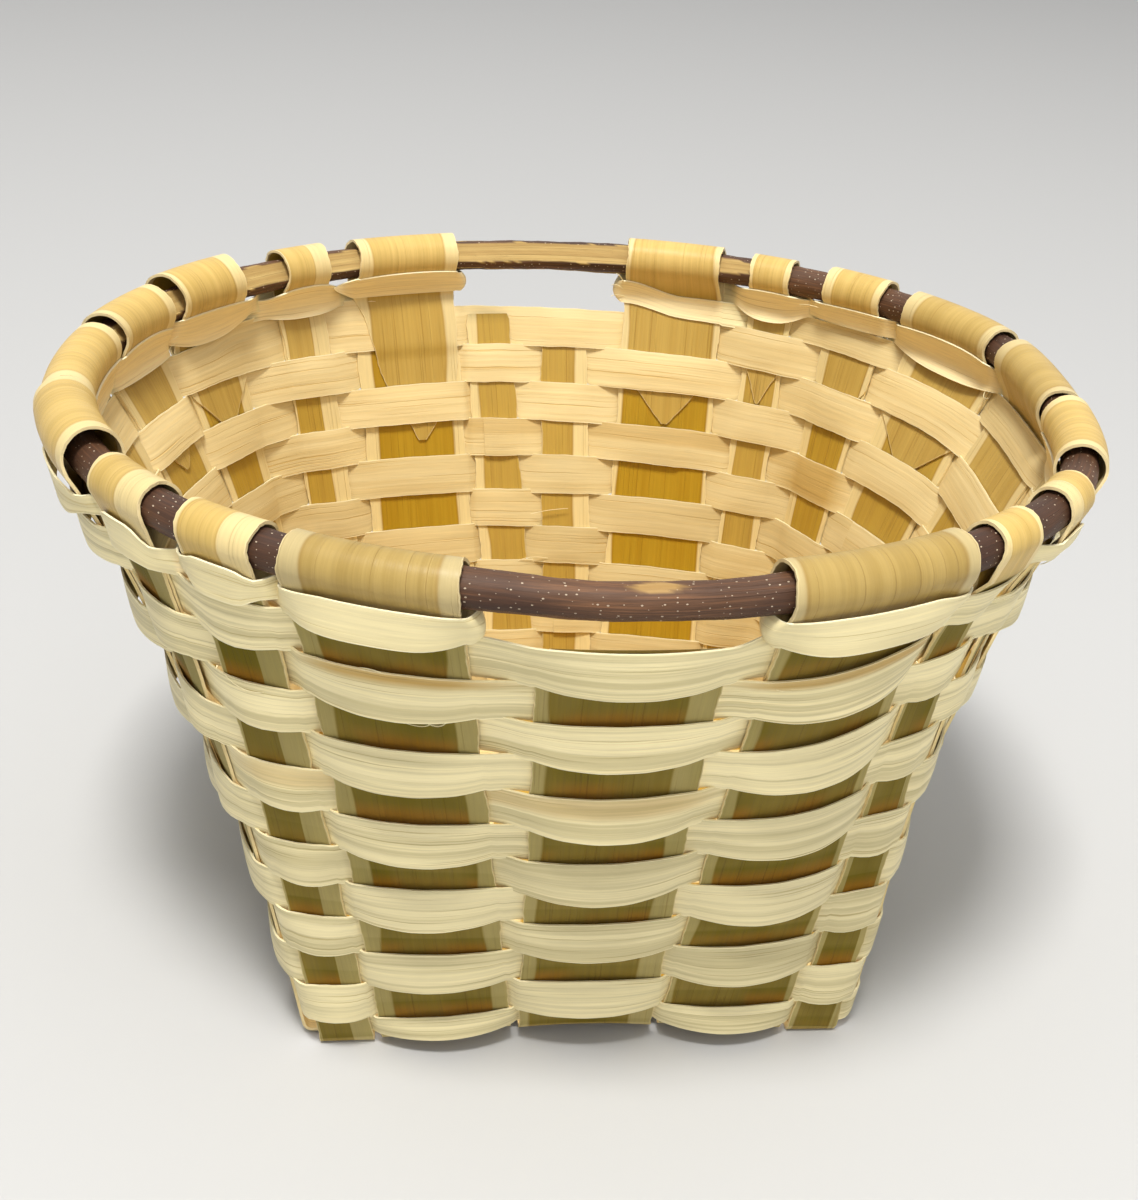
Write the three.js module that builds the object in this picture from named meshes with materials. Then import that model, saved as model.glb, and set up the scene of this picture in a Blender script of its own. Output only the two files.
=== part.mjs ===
// Round wooden basket woven from split wood under a bent rod.
// Ten flat splints cross in the base and turn up into stakes. At the rim most of them fold over the
// rod and run back down inside as pointed tails. Thin weavers spiral round the stakes, in front of
// one and behind the next, and two binders close the weave under the rod.
// Millimetres, +Z up, front towards -Y, left towards -X, feet on z = 0.

import * as THREE from 'three';

// Rim rod
const hoopHalfWidth = 262;
const hoopHalfDepth = 241;
const hoopSquareness = 2.06;
const hoopHeight = 305.6;
const rodRadius = 9.2;
const shavedShare = 0.62;
const scarfLength = 190;
const scarfTip = 1.4;

// The rod is bent a little flat at its right, towards the front.
const flattening = 9;
const flatAngle = 276;
const flatSpread = 30;

// Sheet of each kind of strip, and the air between layers
const stakeThickness = 1.5;
const tailThickness = 1.1;
const weaverThickness = 1.0;
const layerGap = 0.35;
const weaveSlack = 0.8;

// Base weave
const baseGap = 4;
const cornerSetback = 8;
const foldRadius = cornerSetback / 2;
const baseArch = 8;
const footShare = 0.23;

// Stakes: how fast they close in below the rod, and where the tail comes to lie against them
const flareReach = 60;
const upperRows = [8, 24, 46];
const tuckDepth = upperRows[1];
const rowStep = 45;
const facetError = 0.45;

// The wall is drawn in below the rim at the front right corner.
const drawnIn = 20;
const drawnInArc = -195;
const drawnInSpread = 130;
const drawnInFrom = 14;
const drawnInReach = 30;

// Weavers, laid end to end in one spiral that starts at one stake of the first row
const weaverCount = 9;
const firstStakeIndex = 13;
const rowPitch = 24.18;
const firstRowDepth = 9.55;
const weaverWidth = 23.4;
const bulgeTop = 0.03;
const bulgeBottom = 0.115;

// Binders: their lane over a stake, and the narrower one where they pass between two stakes
const binderTop = 5.5;
const binderInnerTop = 10.2;
const binderBottom = 21;
const gapTop = 10.6;
const gapHalf = 5.8;
const edgeClearance = 1.3;
const turnReach = 5;

// Stakes clockwise from the middle of the front, seen from above: width at the rim, share of the
// free rim that follows, slack of the loop round the rod, and depth of the tail's point. A stake
// with no tail stops below the rod, at its top end.
const stakes = [
  { width: 80, gap: 31, topEnd: 24 },
  { width: 76, gap: 14, slack: 0.5, tail: 100 },
  { width: 39, gap: 22, slack: 1, tail: 72 },
  { width: 41, gap: 19, slack: 1.5, tail: 84 },
  { width: 71, gap: 10, slack: 7, tail: 98 },
  { width: 83, gap: 11, slack: 3, tail: 104 },
  { width: 57, gap: 11, slack: 5, tail: 90 },
  { width: 53, gap: 35.5, slack: 8, tail: 86 },
  { width: 31.5, gap: 22, slack: 4, tail: 80 },
  { width: 67, gap: 7, slack: 3, tail: 118, tailOverRow: 1 },
  { width: 28, gap: 23, topEnd: 38 },
  { width: 30, gap: 27, topEnd: 42 },
  { width: 62.5, gap: 21, slack: 2, tail: 106 },
  { width: 27.5, gap: 25.5, slack: 1.5, tail: 84 },
  { width: 41.5, gap: 19.5, slack: 2.5, tail: 86 },
  { width: 77.5, gap: 17, slack: 1, tail: 96 },
  { width: 82, gap: 12, slack: 1, tail: 100 },
  { width: 69, gap: 32, slack: 3, tail: 102 },
  { width: 26, gap: 29, slack: 1.5, tail: 76 },
  { width: 27, gap: 18, slack: 1, tail: 74 },
  { width: 89, gap: 22, slack: 0.5, tail: 102 },
];
const stakeCount = stakes.length;
const corners = [2, 7, 13, 18];
const spiralTurn = rowPitch / stakeCount;

// Splints in the base. Lengthwise ones from left to right with their front and back stakes, then
// crosswise ones from front to back with their left and right stakes. The middle one is split.
const lengthwise = [
  { width: 28, start: 2, finish: [8] },
  { width: 67, start: 1, finish: [9] },
  { width: 70, start: 0, finish: [10, 11] },
  { width: 66, start: 20, finish: [12] },
  { width: 26, start: 19, finish: [13] },
];
const crosswise = [
  { width: 41, start: 3, finish: [18] },
  { width: 70, start: 4, finish: [17] },
  { width: 76, start: 5, finish: [16] },
  { width: 58, start: 6, finish: [15] },
  { width: 43, start: 7, finish: [14] },
];
const narrow = 50;

const up = new THREE.Vector3(0, 0, 1);
const mouth = new THREE.Vector3(0, 0, hoopHeight);
const { lerp, smoothstep, degToRad } = THREE.MathUtils;

class Hoop extends THREE.Curve {
  constructor() {
    super();
    this.arcLengthDivisions = 720;
  }

  getPoint(t, target = new THREE.Vector3()) {
    const angle = 2 * Math.PI * t;
    const rounded = (value) => Math.sign(value) * Math.abs(value) ** (2 / hoopSquareness);
    const away = Math.min(Math.abs(angle - degToRad(flatAngle)) / degToRad(flatSpread), 1);
    const inset = flattening * Math.cos(Math.PI * away / 2) ** 2;
    const x = -hoopHalfWidth * rounded(Math.sin(angle)) - inset;
    const y = -hoopHalfDepth * rounded(Math.cos(angle));
    return target.set(x, y, hoopHeight);
  }
}

const hoop = new Hoop();
const hoopLength = hoop.getLength();

// Point and clockwise direction of the rim, for an arc measured clockwise from the front.
function hoopFrame(arc) {
  const turn = THREE.MathUtils.euclideanModulo(arc / hoopLength, 1);
  const step = 0.5 / hoopLength;
  const before = hoop.getPointAt(THREE.MathUtils.euclideanModulo(turn - step, 1));
  const after = hoop.getPointAt(THREE.MathUtils.euclideanModulo(turn + step, 1));
  const along = after.sub(before).normalize();
  return { point: hoop.getPointAt(turn), along };
}

// Geometry from points and triangles, turned inside out if its faces point in.
function outwardGeometry(points, triangles) {
  const face = new THREE.Vector3();
  let volume = 0;
  for (let t = 0; t < triangles.length; t += 3) {
    const [a, b, c] = [0, 1, 2].map((k) => points[triangles[t + k]]);
    volume += a.dot(face.crossVectors(b, c));
  }
  const geometry = new THREE.BufferGeometry();
  geometry.setFromPoints(points);
  geometry.setIndex(volume < 0 ? triangles.toReversed() : triangles);
  geometry.computeVertexNormals();
  return geometry;
}

// Closed flat strip round a grid of middle points, with half its thickness given for every row.
// Row i runs along the strip and column j across it; present(i, j) says whether the cell that
// starts there is wood, so that a strip can be forked. Every cell is folded along the diagonal
// further from the basket's mouth, so that strips laid on each other nest.
function strip(grid, halves, present = () => true) {
  const [rows, columns] = [grid.length, grid[0].length];
  const isWood = (i, j) => i >= 0 && j >= 0 && i < rows - 1 && j < columns - 1 && present(i, j);
  const cells = [];
  const normals = grid.map((row) => row.map(() => []));
  for (let i = 0; i < rows - 1; i += 1) {
    for (let j = 0; j < columns - 1; j += 1) {
      if (!isWood(i, j)) continue;
      const corner = [[i, j], [i + 1, j], [i + 1, j + 1], [i, j + 1]];
      const [a, b, c, d] = corner.map(([row, column]) => grid[row][column]);
      const normal = c.clone().sub(a).cross(d.clone().sub(b)).normalize();
      const reach = (one, other) => one.clone().lerp(other, 0.5).distanceTo(mouth);
      const isTurned = reach(b, d) > reach(a, c);
      cells.push({ i, j, corner: isTurned ? [...corner.slice(1), corner[0]] : corner });
      corner.forEach(([row, column]) => normals[row][column].push(normal));
    }
  }

  const points = [];
  const numbers = new Map();
  const vertex = (i, j, side) => {
    const key = `${i} ${j} ${side}`;
    if (!numbers.has(key)) {
      const mean = new THREE.Vector3();
      normals[i][j].forEach((normal) => mean.add(normal));
      mean.normalize();
      const mitre = Math.min(...normals[i][j].map((normal) => mean.dot(normal)));
      numbers.set(key, points.length);
      points.push(grid[i][j].clone().addScaledVector(mean, side * halves[i] / Math.max(mitre, 0.6)));
    }
    return numbers.get(key);
  };

  const triangles = [];
  const edge = (i1, j1, i2, j2) => {
    const [a, b] = [vertex(i1, j1, 1), vertex(i2, j2, 1)];
    const [c, d] = [vertex(i2, j2, -1), vertex(i1, j1, -1)];
    triangles.push(a, b, c, a, c, d);
  };
  for (const { i, j, corner } of cells) {
    const [a, b, c, d] = corner.map(([row, column]) => vertex(row, column, 1));
    const [e, f, g, h] = corner.map(([row, column]) => vertex(row, column, -1));
    triangles.push(a, c, b, a, d, c, e, f, g, e, g, h);
    if (!isWood(i, j - 1)) edge(i, j, i + 1, j);
    if (!isWood(i, j + 1)) edge(i + 1, j + 1, i, j + 1);
    if (!isWood(i - 1, j)) edge(i, j + 1, i, j);
    if (!isWood(i + 1, j)) edge(i + 1, j, i + 1, j + 1);
  }
  return outwardGeometry(points, triangles);
}

// Lays splints side by side across one direction of the base.
function layOut(splints) {
  const total = splints.reduce((sum, { width }) => sum + width, 0) + baseGap * (splints.length - 1);
  let edge = -total / 2;
  for (const splint of splints) {
    splint.half = splint.width / 2;
    splint.middle = edge + splint.half;
    splint.columns = splint.width < narrow ? [-1, 1] : [-1, 0, 1];
    if (splint.finish.length > 1) splint.columns = [-1, -baseGap / splint.width, baseGap / splint.width, 1];
    edge += splint.width + baseGap;
  }
  return total / 2 + cornerSetback;
}
const baseHalfWidth = layOut(lengthwise);
const baseHalfDepth = layOut(crosswise);

// The base is arched up between four feet at its corners.
function basePoint(x, y, isUpper) {
  const diagonal = (x / baseHalfWidth) ** 2 * (y / baseHalfDepth) ** 2;
  const rise = baseArch * Math.max(0, 1 - diagonal / footShare);
  const level = stakeThickness / 2 + (isUpper ? stakeThickness + layerGap : 0);
  return new THREE.Vector3(x, y, rise + level);
}

// Line down the wall from the middle of the rod to the fold at the base. Depth is measured down
// it and offset out of the basket.
function wallLine(arc, foot, footAlong) {
  const { point, along } = hoopFrame(arc);
  const down = foot.clone().sub(point);
  const length = down.length();
  down.normalize();
  const outTop = along.clone().cross(down).normalize();
  const outFoot = footAlong.clone().cross(down).normalize();
  const ahead = THREE.MathUtils.euclideanModulo(arc - drawnInArc, hoopLength);
  const away = Math.min(ahead, hoopLength - ahead, drawnInSpread);
  const drawn = drawnIn * Math.cos(Math.PI * away / drawnInSpread / 2) ** 2;
  const at = (depth, offset) => {
    const share = depth / length;
    const below = Math.max(depth - drawnInFrom, 0);
    const inset = drawn * (1 - Math.exp(-below / drawnInReach)) * (1 - share);
    const out = outTop.clone().lerp(outFoot, share).normalize();
    return point.clone().addScaledVector(down, depth).addScaledVector(out, offset - inset);
  };
  return { at, length, twist: outTop.angleTo(outFoot) };
}

function placeStakes() {
  const wood = stakes.reduce((sum, { width }) => sum + width, 0);
  const air = stakes.reduce((sum, { gap }) => sum + gap, 0);
  let arc = -stakes[0].width / 2;
  stakes.forEach((stake, number) => {
    stake.number = number;
    stake.middle = arc + stake.width / 2;
    stake.loop = rodRadius + layerGap + stakeThickness / 2 + (stake.slack ?? 0) / 2
      + (stake.width / 2) ** 2 / hoopHalfDepth / 8;
    arc += stake.width + stake.gap * (hoopLength - wood) / air;
  });

  // Feet run clockwise too: leftwards in front, backwards on the left, and so on.
  const plant = (number, foot, footAlong, columns, baseWidth) => {
    const stake = stakes[number];
    const footLine = (v) => wallLine(stake.middle + v * stake.width / 2, foot(v, 0), footAlong);
    Object.assign(stake, { foot, footAlong, columns, baseWidth, lines: columns.map(footLine) });
    stake.length = Math.min(...stake.lines.map(({ length }) => length));
    const twist = Math.max(...stake.lines.map((line) => line.twist));
    const columnWidth = stake.width / (columns.length > 2 ? 2 : 1);
    const span = stake.length - foldRadius - upperRows.at(-1);
    const step = Math.min(rowStep, 4 * facetError * stake.length / (columnWidth * twist));
    stake.lowerRows = Math.ceil(span / step);
  };
  lengthwise.forEach(({ start, finish, middle, half, columns, width }, lane) => {
    const isUpper = lane % 2 === 1;
    const front = (v, inset) => basePoint(middle - v * half, inset - baseHalfDepth, isUpper);
    plant(start, front, new THREE.Vector3(-1, 0, 0), columns, width);
    const legWidth = (width - baseGap * (finish.length - 1)) / finish.length;
    finish.forEach((number, leg) => {
      const legMiddle = middle - half + legWidth / 2 + leg * (legWidth + baseGap);
      const back = (v, inset) => basePoint(legMiddle + v * legWidth / 2, baseHalfDepth - inset, isUpper);
      const legColumns = finish.length > 1 ? [-1, 1] : columns;
      plant(number, back, new THREE.Vector3(1, 0, 0), legColumns, legWidth);
    });
    const rows = Math.max(...finish.map((number) => stakes[number].lowerRows));
    finish.forEach((number) => { stakes[number].lowerRows = rows; });
  });
  crosswise.forEach(({ start, finish, middle, half, columns, width }, lane) => {
    const isUpper = lane % 2 === 0;
    const left = (v, inset) => basePoint(inset - baseHalfWidth, middle + v * half, isUpper);
    const right = (v, inset) => basePoint(baseHalfWidth - inset, middle - v * half, isUpper);
    plant(start, left, new THREE.Vector3(0, 1, 0), columns, width);
    plant(finish[0], right, new THREE.Vector3(0, -1, 0), columns, width);
  });
}
placeStakes();

// A point over a stake, v = -1 to 1 across it clockwise.
function stakePoint(stake, v, depth, offset) {
  const { columns, lines } = stake;
  const last = columns.length - 1;
  const next = columns.findIndex((column, j) => j > 0 && (v <= column || j === last));
  const share = (v - columns[next - 1]) / (columns[next] - columns[next - 1]);
  return lines[next - 1].at(depth, offset).lerp(lines[next].at(depth, offset), share);
}

// How far a stake stands out from its wall line: it leaves the rod's outer side and closes in.
function flare(stake, depth) {
  return stake.loop * Math.exp(-depth / flareReach);
}

const tailBehind = (stakeThickness + tailThickness) / 2 + layerGap;
const bandOnStake = (stakeThickness + weaverThickness) / 2 + weaveSlack;
const bandOnTail = (tailThickness + weaverThickness) / 2 + weaveSlack;
const tailOnBand = (tailThickness + weaverThickness) / 2 + layerGap;
const loopSteps = 6;
const loopStep = degToRad(225) / loopSteps;

function loopPlace(stake, step) {
  const reach = stake.loop / Math.cos(loopStep / 2);
  return {
    depth: -stake.slack / 2 - reach * Math.sin(step * loopStep),
    offset: reach * Math.cos(step * loopStep),
  };
}

// Offset of a band that passes outside or inside a stake, over its tail if it has one there.
function bandOffset(stake, isOutside, depth, coversTail) {
  if (isOutside) return flare(stake, depth) + bandOnStake;
  if (!coversTail) return flare(stake, depth) - bandOnStake;
  const tucked = flare(stake, Math.max(depth, tuckDepth)) - tailBehind;
  if (depth >= tuckDepth) return tucked - bandOnTail;
  const top = loopPlace(stake, loopSteps);
  const [drop, run] = [tuckDepth - top.depth, tucked - top.offset];
  return lerp(top.offset, tucked, (depth - top.depth) / drop) - bandOnTail * Math.hypot(drop, run) / drop;
}

function rowMiddle(crossing) {
  return firstRowDepth + spiralTurn * crossing;
}

function rowTop(crossing) {
  return Math.max(rowMiddle(crossing) - weaverWidth / 2, binderBottom + 2 * layerGap);
}

function tailPlaces(stake) {
  const lift = (depth) => {
    if (stake.tailOverRow === undefined) return -tailBehind;
    const middle = rowMiddle(stake.tailOverRow * stakeCount + stake.number);
    const away = Math.abs(depth - middle) - weaverWidth / 2 - 1;
    return lerp(-bandOnStake - tailOnBand, -tailBehind, smoothstep(away, 0, upperRows[0]));
  };
  const depths = [tuckDepth, ...stakeDepths(stake).filter((depth) => depth > tuckDepth + 2)];
  if (stake.tailOverRow !== undefined) {
    const middle = rowMiddle(stake.tailOverRow * stakeCount + stake.number);
    const reach = weaverWidth / 2 + 1;
    depths.push(middle - reach, middle + reach, middle + reach + upperRows[0]);
  }
  const inTail = depths.filter((depth) => depth < stake.tail - 4).sort((a, b) => a - b);
  return [...inTail, stake.tail].map((depth) => ({ depth, offset: flare(stake, depth) + lift(depth) }));
}

function stakeDepths(stake) {
  const [last, end] = [upperRows.at(-1), stake.length - foldRadius];
  const lower = [];
  for (let k = 1; k < stake.lowerRows; k += 1) lower.push(lerp(last, end, k / stake.lowerRows));
  return [...upperRows, ...lower];
}

// Rows of one end of a splint: from the tail's point, over the rod, down and round to the base.
function endRows(stake) {
  const rows = [];
  const add = (thickness, { depth, offset }, taper = 1) => {
    const points = stake.columns.map((v) => stakePoint(stake, v * taper, depth, offset));
    rows.push({ points, half: thickness / 2 });
  };
  if (stake.tail) {
    const tip = 0.12;
    for (const place of tailPlaces(stake).reverse()) {
      const share = (place.depth - tuckDepth) / (stake.tail - tuckDepth);
      add(tailThickness, place, lerp(1, tip, share));
    }
    for (let step = loopSteps; step >= 0; step -= 1) add(stakeThickness, loopPlace(stake, step));
  } else {
    add(stakeThickness, { depth: stake.topEnd, offset: flare(stake, stake.topEnd) });
  }
  for (const depth of stakeDepths(stake)) {
    if (stake.tail || depth > stake.topEnd + 2) add(stakeThickness, { depth, offset: flare(stake, depth) });
  }
  const wall = stake.lines.map(({ at, length }) => at(length - foldRadius, 0));
  const fold = stake.columns.map((v) => stake.foot(v, 0));
  const floor = stake.columns.map((v) => stake.foot(v, foldRadius));
  const middle = fold.map((point, j) => point.clone().lerp(wall[j].clone().lerp(floor[j], 0.5), 0.5));
  for (const points of [wall, middle, floor]) rows.push({ points, half: stakeThickness / 2 });
  return rows;
}

// One splint from rim to rim. In the base it has a row at every column of the splints it
// crosses, so that all of them follow the same facets, over and under in turn.
function splintGeometry(splint, lane, isLengthwise) {
  const crossed = isLengthwise ? crosswise : lengthwise;
  const flipped = (row) => ({ ...row, points: row.points.toReversed() });
  const half = stakeThickness / 2;
  const startRows = endRows(stakes[splint.start]);
  const rows = isLengthwise ? startRows.map(flipped) : startRows;
  crossed.forEach((other, number) => {
    const isUpper = (lane + number) % 2 === (isLengthwise ? 1 : 0);
    for (const column of other.columns) {
      const along = other.middle + column * other.half;
      const points = splint.columns.map((v) => {
        const side = splint.middle + v * splint.half;
        return isLengthwise ? basePoint(side, along, isUpper) : basePoint(along, side, isUpper);
      });
      rows.push({ points, half });
    }
  });
  const forkRow = splint.finish.length > 1 ? rows.length - 1 : Infinity;
  const legs = splint.finish.map((number) => endRows(stakes[number]).reverse());
  legs[0].forEach((row, i) => {
    const points = legs.flatMap((leg) => leg[i].points);
    rows.push(isLengthwise ? { ...row, points } : flipped({ ...row, points }));
  });
  const present = (i, j) => i < forkRow || j !== 1;
  return strip(rows.map((row) => row.points), rows.map((row) => row.half), present);
}

// Lowest a band may reach on a stake or a corner, just above the fold.
function footDepth({ length }) {
  return length - foldRadius - 2 * layerGap - weaverThickness;
}

// Section of the weaver where it passes a stake: its upper and lower edges. Outside a stake it
// bows out, most at its lower edge.
function bandSection(stake, crossing, v, lift = 0) {
  const isOutside = crossing % 2 === 1;
  const top = rowTop(crossing + 0.4 * v);
  const height = rowMiddle(crossing + 0.4 * v) + weaverWidth / 2 - top;
  const width = lerp(stake.width, stake.baseWidth, top / stake.length);
  const crown = isOutside ? width * (1 - v * v) : 0;
  const tilt = (bulgeBottom - bulgeTop) * crown;
  const bottom = Math.min(top + Math.sqrt(height ** 2 - tilt ** 2), footDepth(stake));
  const row = Math.floor(crossing / stakeCount);
  const coversTail = stake.tail > top - 2 && stake.tailOverRow !== row;
  const place = (depth, bulge) => {
    const offset = bandOffset(stake, isOutside, depth, coversTail) + bulge * crown - lift;
    return stakePoint(stake, v, depth, offset);
  };
  return [place(top, bulgeTop), place(bottom, bulgeBottom)];
}

// Section of the weaver at the rounded corner that follows a stake.
function cornerSection(stake, crossing) {
  const next = stakes[(stake.number + 1) % stakeCount];
  const foot = stake.foot(1, 0).lerp(next.foot(-1, 0), 0.5);
  const reach = cornerSetback * (Math.SQRT1_2 - 0.5);
  foot.x += Math.sign(foot.x) * reach;
  foot.y += Math.sign(foot.y) * reach;
  const arc = (stake.middle + stake.width / 2 + next.middle - next.width / 2) / 2;
  const line = wallLine(arc, foot, stake.footAlong.clone().add(next.footAlong).normalize());
  const top = rowTop(crossing + 0.5);
  const bottom = Math.min(rowMiddle(crossing + 0.5) + weaverWidth / 2, footDepth(line));
  return [line.at(top, flare(stake, top)), line.at(bottom, flare(stake, bottom))];
}

function bandColumns(stake, isOutside) {
  if (isOutside) return stake.width < narrow ? [-1, 0, 1] : [-1, -0.4, 0.4, 1];
  return stake.width < narrow ? [-1, 1] : [-1, 0, 1];
}

// One weaver. Its start lies inside the end of the one before, over the same stake.
function weaverGeometry(from, to) {
  const sections = [];
  const spliceLift = weaverThickness + layerGap;
  for (let crossing = from; crossing <= to; crossing += 1) {
    const stake = stakes[crossing % stakeCount];
    let columns = bandColumns(stake, crossing % 2 === 1);
    if (crossing === from && from > firstStakeIndex) columns = [-0.5, 0, 1];
    if (crossing === to) columns = [-1, 0, 0.5];
    const lift = crossing === from && from > firstStakeIndex ? spliceLift : 0;
    columns.forEach((v) => sections.push(bandSection(stake, crossing, v, lift)));
    if (corners.includes(stake.number) && crossing < to) sections.push(cornerSection(stake, crossing));
  }
  return strip(sections, sections.map(() => weaverThickness / 2));
}

// Binders are narrowed to one of these lanes between two stakes.
const lanes = {
  whole: [gapTop, binderBottom],
  high: [gapTop, gapTop + gapHalf],
  low: [gapTop + gapHalf + layerGap, gapTop + 2 * gapHalf + layerGap],
};

function binderSection(stake, v, isOutside, lane) {
  const bulge = isOutside ? bulgeTop * stake.width * Math.max(0, 1 - v * v) : 0;
  return lane.map((depth) => {
    return stakePoint(stake, v, depth, bandOffset(stake, isOutside, depth, !isOutside) + bulge);
  });
}

// A binder's way past one stake, from the side it enters to the side it leaves.
function passStake(stake, direction, isOutside, enterLane, leaveLane) {
  const edge = 1 + edgeClearance / (stake.width / 2);
  const crown = [isOutside ? binderTop : binderInnerTop, binderBottom];
  return [
    binderSection(stake, -direction * edge, isOutside, lanes[enterLane]),
    binderSection(stake, -direction * 0.4, isOutside, crown),
    binderSection(stake, direction * 0.4, isOutside, crown),
    binderSection(stake, direction * edge, isOutside, lanes[leaveLane]),
  ];
}

// A binder's turn round one edge of a stake, from one face to the other.
function turnEdge(stake, side, fromOutside) {
  const v = side * (1 + turnReach / (stake.width / 2));
  return [0.3, 0.7].map((share) => lanes.whole.map((depth) => {
    const outer = bandOffset(stake, true, depth, false);
    const inner = bandOffset(stake, false, depth, true);
    return stakePoint(stake, v, depth, fromOutside ? lerp(outer, inner, share) : lerp(inner, outer, share));
  }));
}

// A pass from stake to stake, in and out in turn, in one lane between them.
function binderPass(from, to, isOutside, lane, firstLane = lane, lastLane = lane) {
  const direction = Math.sign(to - from);
  const sections = [];
  for (let number = from; number !== to + direction; number += direction) {
    const isFacing = (number - from) % 2 === 0 ? isOutside : !isOutside;
    const enterLane = number === from ? firstLane : lane;
    const leaveLane = number === to ? lastLane : lane;
    sections.push(...passStake(stakes[number], direction, isFacing, enterLane, leaveLane));
  }
  return sections;
}

// The left binder starts behind the stake left of the back gap, goes round it to the front gap,
// turns round the stake there and comes back, crossing itself between every two stakes.
function leftBinderGeometry() {
  const sections = [
    ...passStake(stakes[9], 1, false, 'high', 'whole'),
    ...turnEdge(stakes[9], 1, false),
    ...binderPass(9, 1, true, 'low', 'whole', 'whole'),
    ...turnEdge(stakes[1], -1, true),
    ...binderPass(1, 8, false, 'high', 'whole', 'high'),
  ];
  return strip(sections, sections.map(() => weaverThickness / 2));
}

// The right binder starts behind the stake right of the front gap and goes round to the back gap,
// where it turns down into the first row.
function rightBinderGeometry() {
  const [front, back] = [stakes[20], stakes[12]];
  const sections = [
    ...passStake(front, 1, false, 'whole', 'whole').slice(1),
    ...turnEdge(front, 1, false),
    ...binderPass(20, 12, true, 'whole'),
    ...turnEdge(back, -1, true),
    ...[-1, 0, 1].map((v) => bandSection(back, 12, v)),
  ];
  return strip(sections, sections.map(() => weaverThickness / 2));
}

// Section of the rod between two flats, as points out from and above its middle.
function rodSection(low, high) {
  const count = 5;
  const [first, last] = [Math.acos(high / rodRadius), Math.acos(low / rodRadius)];
  const upper = [];
  for (let k = 0; k < count; k += 1) {
    const angle = lerp(first, last, k / (count - 1));
    upper.push([rodRadius * Math.cos(angle), rodRadius * Math.sin(angle)]);
  }
  return [...upper, ...upper.toReversed().map(([out, rise]) => [out, -rise])];
}

// Rim rod, split flat on its inner side towards the back. Its two ends are long wedges that lie
// against each other in the back gap.
function hoopGeometry() {
  const steps = 66;
  const back = hoopLength / 2;
  const round = rodRadius * Math.cos(Math.PI / 10);
  const shaved = rodRadius * shavedShare;
  const start = -back - scarfLength / 2;
  const finish = back + scarfLength / 2;
  const points = [];
  for (let k = 0; k <= steps; k += 1) {
    const arc = lerp(start, finish, k / steps);
    const fromBack = back - Math.abs(Math.abs(arc) - back) - back;
    const roundness = smoothstep(-fromBack, hoopLength * 0.08, hoopLength * 0.24);
    const flat = -lerp(shaved, round, roundness);
    const wedge = (share) => lerp(-shaved + scarfTip, round - scarfTip, share);
    const high = Math.min(round, wedge((arc - start) / scarfLength) - layerGap / 2);
    const low = Math.max(flat, wedge(1 - (finish - arc) / scarfLength) + layerGap / 2);
    const { point, along } = hoopFrame(arc);
    const outward = up.clone().cross(along);
    for (const [out, rise] of rodSection(low, high)) {
      points.push(point.clone().addScaledVector(outward, out).addScaledVector(up, rise));
    }
  }

  const count = points.length / (steps + 1);
  const triangles = [];
  for (let i = 0; i < steps; i += 1) {
    for (let j = 0; j < count; j += 1) {
      const [a, b] = [i * count + j, i * count + (j + 1) % count];
      triangles.push(a, b, b + count, a, b + count, a + count);
    }
  }
  const last = steps * count;
  for (let j = 1; j < count - 1; j += 1) triangles.push(0, j + 1, j, last, last + j, last + j + 1);
  return outwardGeometry(points, triangles);
}

// The flatter right side moves the middle of the rim to the left of the base's, and the part stands centred.
const centring = flattening / 2;

const basket = new THREE.Group();
function addPiece(name, geometry, color, roughness) {
  geometry.translate(centring, 0, 0);
  const mesh = new THREE.Mesh(geometry, new THREE.MeshStandardMaterial({ color, roughness, metalness: 0 }));
  mesh.name = name;
  basket.add(mesh);
}

addPiece('rim_hoop', hoopGeometry(), '#4a3029', 0.5);
lengthwise.forEach((splint, lane) => {
  addPiece(`splint_lengthwise_${lane + 1}`, splintGeometry(splint, lane, true), '#c9a45c', 0.55);
});
crosswise.forEach((splint, lane) => {
  addPiece(`splint_crosswise_${lane + 1}`, splintGeometry(splint, lane, false), '#c4a060', 0.55);
});
addPiece('binder_left', leftBinderGeometry(), '#dcc38c', 0.6);
addPiece('binder_right', rightBinderGeometry(), '#dcc38c', 0.6);

// The spiral ends where less than half a weaver's width is left above the fold.
function hasRoom(crossing) {
  return rowMiddle(crossing) < footDepth(stakes[crossing % stakeCount]);
}
let lastCrossing = firstStakeIndex + 1;
while (hasRoom(lastCrossing + 1) && hasRoom(lastCrossing + 2)) lastCrossing += 2;

// Two weavers are spliced behind a stake that the spiral passes on the inside.
function splice(number) {
  if (number === 0) return firstStakeIndex;
  return 2 * Math.round(lerp(firstStakeIndex, lastCrossing, number / weaverCount) / 2);
}
for (let k = 0; k < weaverCount; k += 1) {
  addPiece(`weaver_${k + 1}`, weaverGeometry(splice(k), splice(k + 1)), '#e2cfa0', 0.6);
}

export default basket;
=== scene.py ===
"""Visual model of a round wooden basket woven from split wood under a bent rod.

Lengths in the dataclasses are millimetres, in the frame of the CAD parts: +Z up, front towards -Y.
"""
from __future__ import annotations

import logging
import math
from dataclasses import dataclass, field, replace
from enum import Enum
from typing import Optional, Sequence

import bpy
import numpy as np
from mathutils import Matrix, Vector

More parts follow.
